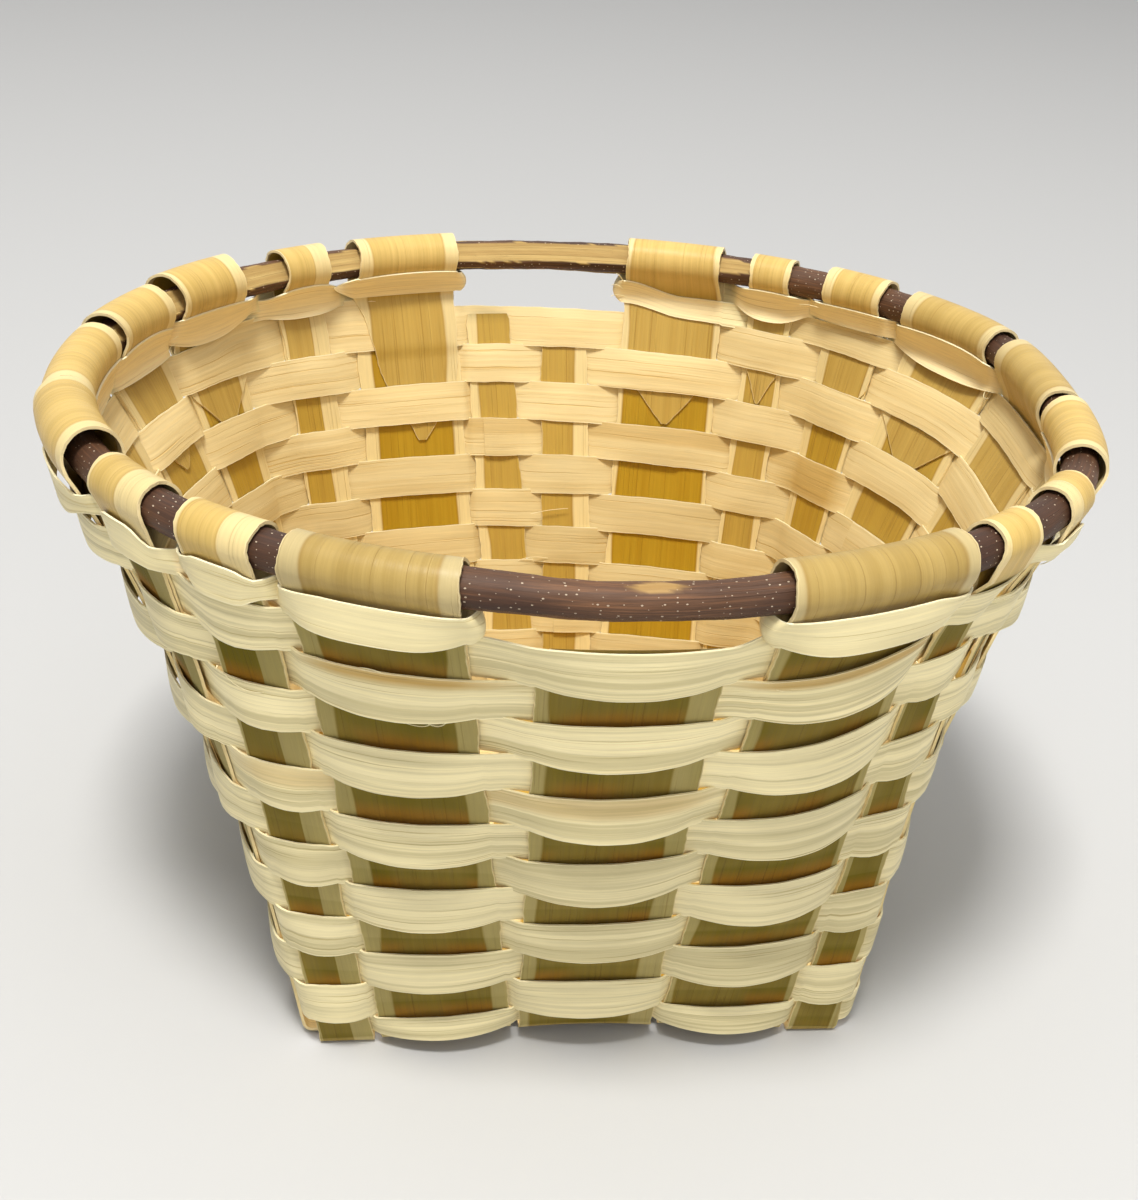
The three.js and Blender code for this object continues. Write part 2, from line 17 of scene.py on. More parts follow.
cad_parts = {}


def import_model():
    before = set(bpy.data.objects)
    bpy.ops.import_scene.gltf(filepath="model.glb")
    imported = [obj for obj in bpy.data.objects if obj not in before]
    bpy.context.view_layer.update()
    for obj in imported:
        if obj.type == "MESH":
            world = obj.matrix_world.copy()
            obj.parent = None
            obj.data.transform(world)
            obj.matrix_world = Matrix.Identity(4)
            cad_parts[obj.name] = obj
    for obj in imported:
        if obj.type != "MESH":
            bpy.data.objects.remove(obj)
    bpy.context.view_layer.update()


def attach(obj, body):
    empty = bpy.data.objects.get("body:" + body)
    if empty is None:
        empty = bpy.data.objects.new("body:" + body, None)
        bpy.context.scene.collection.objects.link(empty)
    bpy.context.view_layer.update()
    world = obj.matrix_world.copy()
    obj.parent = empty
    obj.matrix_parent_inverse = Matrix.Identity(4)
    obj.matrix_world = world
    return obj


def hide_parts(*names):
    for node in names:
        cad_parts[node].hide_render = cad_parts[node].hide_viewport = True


MM = 0.001
# The rod is bent flatter at its right, and the part stands centred under its rim.
CENTRING = np.array([4.5, 0.0, 0.0])
UP = np.array([0.0, 0.0, 1.0])
# Stake at which the spiral of weavers starts, and the depth above which no row goes.
FIRST_CROSSING = 13
HIGHEST_ROW = 21.7
# Half a stake and the gap beside it, in steps of the spiral from stake to stake.
HALF_STAKE = 0.4
GAP_STEP = 0.2
Colour = tuple[float, float, float]
log = logging.getLogger("basket")


class Side(Enum):
    """Side of the base that a stake rises from, given by the clockwise direction of its edge."""

    FRONT = (-1, 0)
    LEFT = (0, 1)
    BACK = (1, 0)
    RIGHT = (0, -1)


class Lane(Enum):
    """Share of the wall, from depth to depth, that a binder keeps to between two stakes."""

    WHOLE = (10.4, 22.0)
    HIGH = (9.0, 19.6)
    LOW = (13.6, 26.6)
    TURN = (6.8, 22.6)
    BESIDE = (8.0, 23.6)


class Slot(Enum):
    """Material slots of the record."""

    BARK = "rod_bark"
    STAKE = "stake_wood"
    BINDER = "binder_wood"
    WEAVER = "weaver_wood"


def unit(vectors: np.ndarray) -> np.ndarray:
    """Scale vectors in the last axis to length one."""
    return vectors / np.maximum(np.linalg.norm(vectors, axis=-1, keepdims=True), 1e-9)


def mix(start: np.ndarray, end: np.ndarray, share: np.ndarray) -> np.ndarray:
    """Interpolate linearly between two values."""
    return start + (end - start) * share


def ease(value: np.ndarray, low: float, high: float) -> np.ndarray:
    """Rise smoothly from 0 at low to 1 at high."""
    share = np.clip((value - low) / (high - low), 0.0, 1.0)
    return share * share * (3 - 2 * share)


def hermite(start: np.ndarray, slope_in: np.ndarray, end: np.ndarray, slope_out: np.ndarray,
            share: np.ndarray) -> np.ndarray:
    """Interpolate with given slopes at both ends.

    Args:
        start: Value at share 0.
        slope_in: Change over the whole span that the slope at share 0 would make.
        end: Value at share 1.
        slope_out: The same for the slope at share 1.
        share: Position in the span, 0 to 1.

    Returns:
        The interpolated values.
    """
    square, cube = share ** 2, share ** 3
    return ((2 * cube - 3 * square + 1) * start + (cube - 2 * square + share) * slope_in
            + (3 * square - 2 * cube) * end + (cube - square) * slope_out)


@dataclass
class Ripple:
    """Smooth repeatable unevenness along a length, a sum of a few waves."""

    seed: int
    waves: Sequence[tuple[float, float]]
    phases: np.ndarray = field(init=False)

    def __post_init__(self) -> None:
        """Draw the phase of each wave."""
        self.phases = np.random.default_rng(self.seed).uniform(0, 2 * math.pi, len(self.waves))

    def at(self, place: np.ndarray) -> np.ndarray:
        """Return the height of the unevenness at a place, both in millimetres."""
        waves = ((height, length, phase) for (height, length), phase in zip(self.waves, self.phases))
        return sum(height * np.sin(2 * math.pi * place / length + phase) for height, length, phase in waves)


@dataclass
class Hoop:
    """Line of the rim rod: a squarish oval, bent a little flat at its right."""

    half_width: float = 262.0
    half_depth: float = 241.0
    squareness: float = 2.06
    height: float = 305.6
    flattening: float = 9.0
    flat_angle: float = 276.0
    flat_spread: float = 30.0
    samples: int = 14400
    length: float = field(init=False)

    def __post_init__(self) -> None:
        """Tabulate the line by its arc length, clockwise from the front."""
        angle = np.linspace(0, 2 * math.pi, self.samples + 1)
        power = 2 / self.squareness
        sine, cosine = np.sin(angle), np.cos(angle)
        away = np.minimum(np.abs(angle - math.radians(self.flat_angle)) / math.radians(self.flat_spread), 1)
        inset = self.flattening * np.cos(math.pi * away / 2) ** 2
        self._x = -self.half_width * np.sign(sine) * np.abs(sine) ** power - inset
        self._y = -self.half_depth * np.sign(cosine) * np.abs(cosine) ** power
        steps = np.hypot(np.diff(self._x), np.diff(self._y))
        self._arcs = np.concatenate([[0.0], np.cumsum(steps)])
        self.length = float(self._arcs[-1])

    def point(self, arc: np.ndarray) -> np.ndarray:
        """Return the point of the line at an arc length.

        Args:
            arc: Distances along the line, clockwise from the front.

        Returns:
            Points with a last axis of three.
        """
        turned = np.mod(arc, self.length)
        x, y = np.interp(turned, self._arcs, self._x), np.interp(turned, self._arcs, self._y)
        return np.stack([x, y, np.full_like(x, self.height)], axis=-1)

    def along(self, arc: np.ndarray) -> np.ndarray:
        """Return the clockwise direction of the line at an arc length."""
        return unit(self.point(np.asarray(arc) + 0.5) - self.point(np.asarray(arc) - 0.5))


@dataclass
class Base:
    """Square bottom, arched up between four feet at its corners."""

    half_width: float = 144.5
    half_depth: float = 160.0
    arch: float = 8.0
    foot_share: float = 0.23
    sheet: float = 1.5
    layer_gap: float = 0.35
    gap: float = 4.0

    def rise(self, x: np.ndarray, y: np.ndarray) -> np.ndarray:
        """Return how far the arch lifts the base at a place."""
        diagonal = (x / self.half_width) ** 2 * (y / self.half_depth) ** 2
        return self.arch * np.maximum(0, 1 - diagonal / self.foot_share)

    def point(self, x: np.ndarray, y: np.ndarray, upper: np.ndarray) -> np.ndarray:
        """Return a point in the middle of a splint.

        Args:
            x: Place from left to right.
            y: Place from front to back.
            upper: 1 where the splint lies over the one it crosses, 0 under it.

        Returns:
            Points with a last axis of three.
        """
        level = self.sheet / 2 + upper * (self.sheet + self.layer_gap)
        x, y = np.broadcast_arrays(np.asarray(x, dtype=float), np.asarray(y, dtype=float))
        return np.stack([x, y, self.rise(x, y) + level], axis=-1)


@dataclass
class Stake:
    """One upright end of a splint, with its place at the rim and on the base.

    width is its width at the rim and gap the air to the next one clockwise, slack how far its loop
    hangs under the rod, tail how deep its tail goes, tail_edges the depth and both edges of the tail
    at its corners, over_row the turn of the spiral that its tail covers, top_end where a stake
    without a loop ends, loop_tone the lightness of its loop, for the two dark front loops partly
    painted shade, and drop how far the loop has slid down.
    The fields from number on are filled in by the wall.
    """

    width: float
    gap: float
    slack: float = 0.0
    tail: Optional[float] = None
    tail_edges: tuple[tuple[float, float, float], ...] = ()
    over_row: Optional[int] = None
    top_end: Optional[float] = None
    loop_tone: float = 1.0
    drop: float = 0.0
    number: int = 0
    middle: float = 0.0
    loop: float = 0.0
    side: Side = Side.FRONT
    base_middle: float = 0.0
    base_half: float = 0.0
    upper: bool = False
    length: float = 0.0

    def tail_bounds(self, depth: np.ndarray, tuck: float) -> tuple[np.ndarray, np.ndarray]:
        """Return both edges of the tail at a depth, from -1 to 1 across the stake.

        Args:
            depth: Distances down the wall.
            tuck: Depth above which the tail has the stake's full width.

        Returns:
            The lower and the upper edge.
        """
        start = mix(tuck, self.tail, 0.55)
        edges = self.tail_edges or ((start, -1.0, 1.0), (self.tail, -0.06, 0.06))
        places, low, high = zip(*edges)
        return np.interp(depth, places, low, left=-1.0), np.interp(depth, places, high, left=1.0)

    def foot(self, base: Base, v: np.ndarray, inset: np.ndarray) -> np.ndarray:
        """Return a point where the stake meets the base.

        Args:
            base: The base.
            v: Places across the stake, -1 to 1 clockwise.
            inset: Distances from the base's edge.

        Returns:
            Points with a last axis of three.
        """
        v, inset = np.broadcast_arrays(np.asarray(v, dtype=float), np.asarray(inset, dtype=float))
        x_way, y_way = self.side.value
        along = self.base_middle + (x_way + y_way) * v * self.base_half
        if x_way:
            return base.point(along, x_way * (base.half_depth - inset), float(self.upper))
        return base.point(-y_way * (base.half_width - inset), along, float(self.upper))

    @property
    def foot_along(self) -> np.ndarray:
        """Clockwise direction of the base's edge under the stake."""
        return np.array((*self.side.value, 0), dtype=float)


@dataclass
class SplintPlan:
    """One flat splint of the base, with the stakes at its two ends."""

    name: str
    width: float
    start: int
    finish: tuple[int, ...]
    sap: tuple[float, float] = (0.13, 0.13)
    pale: float = 0.0
    middle: float = 0.0


STAKES = (
    Stake(80, 31, top_end=24),
    Stake(76, 14, 0.5, 100, loop_tone=0.62),
    Stake(39, 22, 1, 72, loop_tone=0.92),
    Stake(41, 19, 1.5, 84, loop_tone=0.88),
    Stake(71, 10, 7, 98, loop_tone=0.94),
    Stake(83, 11, 3, 104),
    Stake(57, 11, 5, 90),
    Stake(53, 35.5, 8, 86),
    Stake(31.5, 22, 4, 80),
    Stake(67, 7, 3, 118, ((24, -0.97, 1.0), (40, -0.8, 0.98), (80, -0.5, 0.93), (104, -0.14, 0.52),
                          (118, 0.08, 0.2)), over_row=1),
    Stake(28, 23, top_end=38),
    Stake(30, 27, top_end=42),
    Stake(62.5, 21, 2, 106),
    Stake(27.5, 25.5, 1.5, 84),
    Stake(41.5, 19.5, 2.5, 86),
    Stake(77.5, 17, 1, 96, loop_tone=0.84),
    Stake(82, 12, 1, 100, loop_tone=0.8),
    Stake(69, 32, 3, 102),
    Stake(26, 29, 1.5, 76),
    Stake(27, 18, 1, 74),
    Stake(89, 22, 3.3, 102, loop_tone=0.65, drop=2.4),
)

LENGTHWISE = (
    SplintPlan("splint_lengthwise_1", 28, 2, (8,), (0.38, 0.06), 0.1),
    SplintPlan("splint_lengthwise_2", 67, 1, (9,), (0.13, 0.13), 0.0),
    SplintPlan("splint_lengthwise_3", 70, 0, (10, 11), (0.16, 0.10), 0.14),
    SplintPlan("splint_lengthwise_4", 66, 20, (12,), (0.07, 0.07), 0.0),
    SplintPlan("splint_lengthwise_5", 26, 19, (13,), (0.14, 0.12), 0.15),
)
CROSSWISE = (
    SplintPlan("splint_crosswise_1", 41, 3, (18,), (0.42, 0.06), 0.1),
    SplintPlan("splint_crosswise_2", 70, 4, (17,), (0.10, 0.10), 0.15),
    SplintPlan("splint_crosswise_3", 76, 5, (16,), (0.07, 0.12), 0.1),
    SplintPlan("splint_crosswise_4", 58, 6, (15,), (0.10, 0.14), 0.1),
    SplintPlan("splint_crosswise_5", 43, 7, (14,), (0.10, 0.16), 0.05),
)


@dataclass
class Wall:
    """Woven side of the basket: where each stake stands and how far each layer lies from it."""

    hoop: Hoop = field(default_factory=Hoop)
    base: Base = field(default_factory=Base)
    rod_radius: float = 9.2
    stake_sheet: float = 1.5
    tail_sheet: float = 1.1
    weaver_sheet: float = 1.0
    layer_gap: float = 0.35
    weave_slack: float = 0.35
    flare_reach: float = 60.0
    tuck_depth: float = 24.0
    drawn_in: float = 20.0
    drawn_arc: float = -195.0
    drawn_spread: float = 130.0
    drawn_from: float = 14.0
    drawn_reach: float = 30.0
    row_pitch: float = 24.18
    first_row: float = 9.55
    weaver_width: float = 24.3
    corner_setback: float = 8.0
    fold_radius: float = 4.0
    sway_height: float = 0.8
    sway_length: float = 85.0

    def __post_init__(self) -> None:
        """Set the stakes out round the rim and on the base."""
        wood = sum(stake.width for stake in STAKES)
        air = sum(stake.gap for stake in STAKES)
        arc = -STAKES[0].width / 2
        for number, stake in enumerate(STAKES):
            stake.number = number
            stake.middle = arc + stake.width / 2
            stake.loop = (self.rod_radius + self.layer_gap + self.stake_sheet / 2 + stake.slack / 2
                          + (stake.width / 2) ** 2 / self.hoop.half_depth / 8)
            arc += stake.width + stake.gap * (self.hoop.length - wood) / air
        self._plant(LENGTHWISE, Side.FRONT, Side.BACK, 1)
        self._plant(CROSSWISE, Side.LEFT, Side.RIGHT, 0)
        around = self.hoop.length
        self._sway = [Ripple(60 + k, ((0.6, around / (5 + 3 * k)), (0.4, around / (9 + 2 * k))))
                      for k in range(3)]

    def _plant(self, plans: Sequence[SplintPlan], start_side: Side, finish_side: Side,
               upper_lane: int) -> None:
        """Lay splints side by side on the base and stand their ends up.

        Args:
            plans: The splints of one direction, in order.
            start_side: Side of the base at which they start.
            finish_side: Side at which they end.
            upper_lane: Whether the odd ones (1) or the even ones (0) are folded up over the others.
        """
        total = sum(plan.width for plan in plans) + self.base.gap * (len(plans) - 1)
        edge = -total / 2
        for lane, plan in enumerate(plans):
            plan.middle = edge + plan.width / 2
            edge += plan.width + self.base.gap
            leg = (plan.width - self.base.gap * (len(plan.finish) - 1)) / len(plan.finish)
            ends = [(plan.start, start_side, plan.middle, plan.width / 2)]
            for k, number in enumerate(plan.finish):
                leg_middle = plan.middle - plan.width / 2 + leg / 2 + k * (leg + self.base.gap)
                ends.append((number, finish_side, leg_middle, leg / 2))
            for number, side, middle, half in ends:
                stake = STAKES[number]
                stake.side, stake.base_middle, stake.base_half = side, middle, half
                stake.upper = lane % 2 == upper_lane
                lines = [self.rim(stake, v) - stake.foot(self.base, v, 0) for v in (-1, 0, 1)]
                stake.length = float(min(np.linalg.norm(line) for line in lines))

    def rim(self, stake: Stake, v: np.ndarray) -> np.ndarray:
        """Return the point of the rod's middle line over a place across a stake."""
        return self.hoop.point(stake.middle + np.asarray(v) * stake.width / 2)

    def sway(self, arc: np.ndarray, depth: np.ndarray) -> np.ndarray:
        """Return how far the whole wall bulges at a place, the same for every layer.

        Args:
            arc: Place along the rim.
            depth: Distance down the wall.

        Returns:
            Distances out of the basket.
        """
        first, second, third = (ripple.at(arc) for ripple in self._sway)
        slow = depth / self.sway_length
        bulge = first * np.sin(slow) + second * np.cos(1.3 * slow) + third * np.sin(1.9 * slow + 1)
        return self.sway_height * bulge * ease(depth, 25, 80) * (1 - ease(depth, 200, 260))

    def at(self, arc: np.ndarray, foot: np.ndarray, foot_along: np.ndarray, depth: np.ndarray,
           offset: np.ndarray) -> np.ndarray:
        """Return a point measured down the wall from the rod and out of the basket.

        Args:
            arc: Place along the rim.
            foot: Point at which the line down the wall meets the base.
            foot_along: Clockwise direction of the base's edge there.
            depth: Distance down the line.
            offset: Distance out from it.

        Returns:
            Points with a last axis of three.
        """
        arc, depth, offset = np.broadcast_arrays(np.asarray(arc, dtype=float), depth, offset)
        rim, along = self.hoop.point(arc), self.hoop.along(arc)
        down = foot - rim
        length = np.linalg.norm(down, axis=-1)
        down = unit(down)
        out_top = unit(np.cross(along, down))
        out_foot = unit(np.cross(np.broadcast_to(foot_along, down.shape), down))
        ahead = np.mod(arc - self.drawn_arc, self.hoop.length)
        away = np.minimum(np.minimum(ahead, self.hoop.length - ahead), self.drawn_spread)
        drawn = self.drawn_in * np.cos(math.pi * away / self.drawn_spread / 2) ** 2
        share = depth / length
        below = np.maximum(depth - self.drawn_from, 0)
        inset = drawn * (1 - np.exp(-below / self.drawn_reach)) * (1 - share)
        out = unit(mix(out_top, out_foot, share[..., None]))
        distance = offset - inset + self.sway(arc, depth)
        return rim + down * depth[..., None] + out * distance[..., None]

    def on_stake(self, stake: Stake, v: np.ndarray, depth: np.ndarray, offset: np.ndarray) -> np.ndarray:
        """Return a point over a stake.

        Args:
            stake: The stake.
            v: Places across it, -1 to 1 clockwise.
            depth: Distances down the wall.
            offset: Distances out from the wall line.

        Returns:
            Points with a last axis of three.
        """
        v, depth, offset = np.broadcast_arrays(np.asarray(v, dtype=float), depth, offset)
        arc = stake.middle + v * stake.width / 2
        return self.at(arc, stake.foot(self.base, v, 0), stake.foot_along, depth, offset)

    def in_gap(self, stake: Stake, nearer: float, other: Stake, share: np.ndarray, depth: np.ndarray,
               offset: np.ndarray) -> np.ndarray:
        """Return a point between two neighbouring stakes.

        Args:
            stake: Stake on one side of the gap.
            nearer: Edge of that stake at the gap, 1 or -1.
            other: Stake on the other side.
            share: Position in the gap, 0 to 1.
            depth: Distance down the wall.
            offset: Distance out from the wall line.

        Returns:
            Points with a last axis of three.
        """
        start = self.on_stake(stake, nearer, depth, offset)
        end = self.on_stake(other, -nearer, depth, offset)
        point = mix(start, end, share[..., None])
        if stake.side is not other.side:
            # Round a corner of the base a band bows out, more and more towards the foot.
            reach = self.corner_setback * (math.sqrt(0.5) - 0.5) * 1.4 * depth / stake.length
            bow = 4 * share * (1 - share) * reach
            outward = unit(point * np.array([1.0, 1.0, 0.0]))
            point = point + outward * bow[..., None]
        return point

    def gap_length(self, stake: Stake, other: Stake, nearer: float, depth: float) -> float:
        """Return the distance from an edge of a stake, 1 or -1, to its neighbour at a depth."""
        start = self.on_stake(stake, nearer, np.array(depth), np.array(0.0))
        return float(np.linalg.norm(self.on_stake(other, -nearer, np.array(depth), np.array(0.0)) - start))

    def flare(self, stake: Stake, depth: np.ndarray) -> np.ndarray:
        """Return how far a stake stands out: it leaves the rod's outer side and closes in."""
        return stake.loop * np.exp(-np.asarray(depth) / self.flare_reach)

    @property
    def tail_behind(self) -> float:
        """Distance from a stake's middle to its tail's middle."""
        return (self.stake_sheet + self.tail_sheet) / 2 + self.layer_gap

    def loop_end(self, stake: Stake) -> tuple[float, float]:
        """Return depth and offset of the place where the loop leaves the rod on the inside."""
        reach = stake.loop * math.sqrt(0.5)
        return reach - stake.slack / 2 + stake.drop, -reach

    def tail_offset(self, stake: Stake, depth: np.ndarray) -> np.ndarray:
        """Return the offset of a loop's inner side and tail at a depth.

        Args:
            stake: The stake.
            depth: Distances down the wall.

        Returns:
            Distances out from the wall line, below zero inside it.
        """
        top, start = self.loop_end(stake)
        tuck = self.tuck_depth + stake.slack
        run = tuck - top
        end = self.flare(stake, tuck) - self.tail_behind
        share = np.clip((depth - top) / run, 0, 1)
        slope = -self.flare(stake, tuck) / self.flare_reach * run
        bent = hermite(start, run, end, slope, share)
        return np.where(depth > tuck, self.flare(stake, depth) - self.tail_behind, bent)

    def layer(self, stake: Stake, outside: bool, depth: np.ndarray, over_tail: bool) -> np.ndarray:
        """Return the offset of a band that passes a stake.

        Args:
            stake: The stake.
            outside: Whether the band passes outside.
            depth: Distances down the wall.
            over_tail: Whether a band inside lies over the tail rather than between it and the stake.

        Returns:
            Distances out from the wall line.
        """
        reach = (self.stake_sheet + self.weaver_sheet) / 2 + self.weave_slack
        if outside:
            return self.flare(stake, depth) + reach
        if not over_tail or stake.tail is None:
            return self.flare(stake, depth) - reach
        step = 0.5
        slope = (self.tail_offset(stake, depth + step) - self.tail_offset(stake, depth - step)) / (2 * step)
        reach = (self.tail_sheet + self.weaver_sheet) / 2 + self.weave_slack
        return self.tail_offset(stake, depth) - reach * np.sqrt(1 + slope ** 2)

    def row_middle(self, crossing: np.ndarray) -> np.ndarray:
        """Return the depth of the spiral at a crossing, counted in stakes passed."""
        return self.first_row + self.row_pitch / len(STAKES) * np.asarray(crossing, dtype=float)

    def foot_depth(self, stake: Stake) -> float:
        """Return the lowest depth that a band may reach on a stake."""
        return stake.length - self.fold_radius - 2 * self.layer_gap - self.weaver_sheet


@dataclass
class Sheet:
    """Middle surface of a strip, with what its wood shows at each place.

    points is rows by columns by 3, half the half thickness of each row or place, along the distance
    along the grain of each row, across the distance from the middle, share that distance from -1 to
    1, edge the distance to the nearer long edge, and stain and tone are marks of the wood. On a
    stake's outer face the stain mark is painted shade between the bands as well as olive stain.
    """

    points: np.ndarray
    half: np.ndarray
    along: np.ndarray
    across: np.ndarray
    share: np.ndarray
    edge: np.ndarray
    stain_and_shade: np.ndarray
    tone: np.ndarray


def quads(*corners: np.ndarray) -> np.ndarray:
    """Return faces from the numbers of their four corners."""
    return np.stack(corners, axis=-1).reshape(-1, 4)


def strip(first: np.ndarray, second: np.ndarray) -> np.ndarray:
    """Return the faces between two lines of points."""
    return quads(first[:-1], first[1:], second[1:], second[:-1])


class SheetMesh:
    """Collects strips and turns them into one mesh."""

    def __init__(self, seed: float) -> None:
        """Start an empty mesh.

        Args:
            seed: Number that shifts its grain.
        """
        self.seed = seed
        self._sides: list[tuple[np.ndarray, ...]] = []
        self._faces: list[np.ndarray] = []
        self._count = 0

    def add(self, sheet: Sheet) -> None:
        """Thicken a strip to both sides and close its edges.

        Args:
            sheet: The strip's middle surface. Its columns run clockwise and its rows down the
                outside of the wall, so that its outer face looks out of the basket.
        """
        rows, columns = sheet.points.shape[:2]
        normal = unit(np.cross(np.gradient(sheet.points, axis=1), np.gradient(sheet.points, axis=0)))
        half = np.broadcast_to(sheet.half.reshape(rows, -1), (rows, columns))[..., None]
        along = np.broadcast_to(sheet.along.reshape(rows, -1), (rows, columns))
        grain = np.stack([along, sheet.across], axis=-1) * MM
        for side in (1, 0):
            points = sheet.points + normal * half * (2 * side - 1)
            facing = np.full((rows, columns), float(side))
            marks = np.stack([sheet.share, sheet.stain_and_shade, sheet.tone, facing], axis=-1)
            self._sides.append((points.reshape(-1, 3), grain.reshape(-1, 2), marks.reshape(-1, 4),
                                sheet.edge.reshape(-1) * MM))
        outer = self._count + np.arange(rows * columns).reshape(rows, columns)
        inner = outer + rows * columns
        self._faces.extend([
            quads(outer[:-1, :-1], outer[:-1, 1:], outer[1:, 1:], outer[1:, :-1]),
            quads(inner[:-1, :-1], inner[1:, :-1], inner[1:, 1:], inner[:-1, 1:]),
            strip(outer[:, 0], inner[:, 0]),
            strip(inner[:, -1], outer[:, -1]),
            strip(inner[0], outer[0]),
            strip(outer[-1], inner[-1]),
        ])
        self._count += 2 * rows * columns

    def build(self, name: str, material: bpy.types.Material) -> bpy.types.Object:
        """Make the object.

        Args:
            name: Name of the object.
            material: Its finish.

        Returns:
            The new object, linked to the scene.
        """
        points, grain, marks, edge = (np.concatenate(values) for values in zip(*self._sides))
        return make_object(name, points, np.concatenate(self._faces), grain, marks, edge, self.seed, material)


def make_object(name: str, points: np.ndarray, faces: np.ndarray, grain: np.ndarray, marks: np.ndarray,
                edge: np.ndarray, seed: float, material: bpy.types.Material,
                sharp: float = 55.0) -> bpy.types.Object:
    """Make a mesh object from quads.

    Args:
        name: Name of the object.
        points: Corner points in millimetres.
        faces: Four point numbers for each face.
        grain: Place along and across the grain of each point, in metres.
        marks: Share across, stain with painted shade, tone and side of each point.
        edge: Distance of each point to the edge of the strip, in metres.
        seed: Number that shifts the grain of the whole piece.
        material: Its finish.
        sharp: Angle in degrees over which an edge is sharp.

    Returns:
        The new object, linked to the scene.
    """
    mesh = bpy.data.meshes.new(name)
    mesh.vertices.add(len(points))
    mesh.vertices.foreach_set("co", ((points + CENTRING) * MM).astype(np.float32).ravel())
    mesh.loops.add(faces.size)
    mesh.loops.foreach_set("vertex_index", faces.astype(np.int32).ravel())
    mesh.polygons.add(len(faces))
    mesh.polygons.foreach_set("loop_start", np.arange(0, faces.size, 4, dtype=np.int32))
    mesh.update(calc_edges=True)
    mesh.validate()
    corners = np.empty(len(mesh.loops), dtype=np.int32)
    mesh.loops.foreach_get("vertex_index", corners)
    layer = mesh.uv_layers.new(name="grain")
    layer.data.foreach_set("uv", grain[corners].astype(np.float32).ravel())
    shade = mesh.attributes.new("marks", "FLOAT_COLOR", "POINT")
    shade.data.foreach_set("color", marks.astype(np.float32).ravel())
    for label, values in (("seed", np.full(len(points), seed)), ("edge", edge)):
        drawn = mesh.attributes.new(label, "FLOAT", "POINT")
        drawn.data.foreach_set("value", values.astype(np.float32))
    mesh.polygons.foreach_set("use_smooth", np.ones(len(mesh.polygons), dtype=bool))
    mesh.set_sharp_from_angle(angle=math.radians(sharp))
    mesh.materials.append(material)
    made = bpy.data.objects.new(name, mesh)
    bpy.context.scene.collection.objects.link(made)
    return made


def carried(piece: bpy.types.Object, node: str) -> bpy.types.Object:
    """Let a piece ride on the basket in place of a CAD part, and report it.

    Args:
        piece: The visible object.
        node: Name of the CAD part.

    Returns:
        The same object.
    """
    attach(piece, "root")
    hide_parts(node)
    log.info("%s: %d faces", piece.name, len(piece.data.polygons))
    return piece


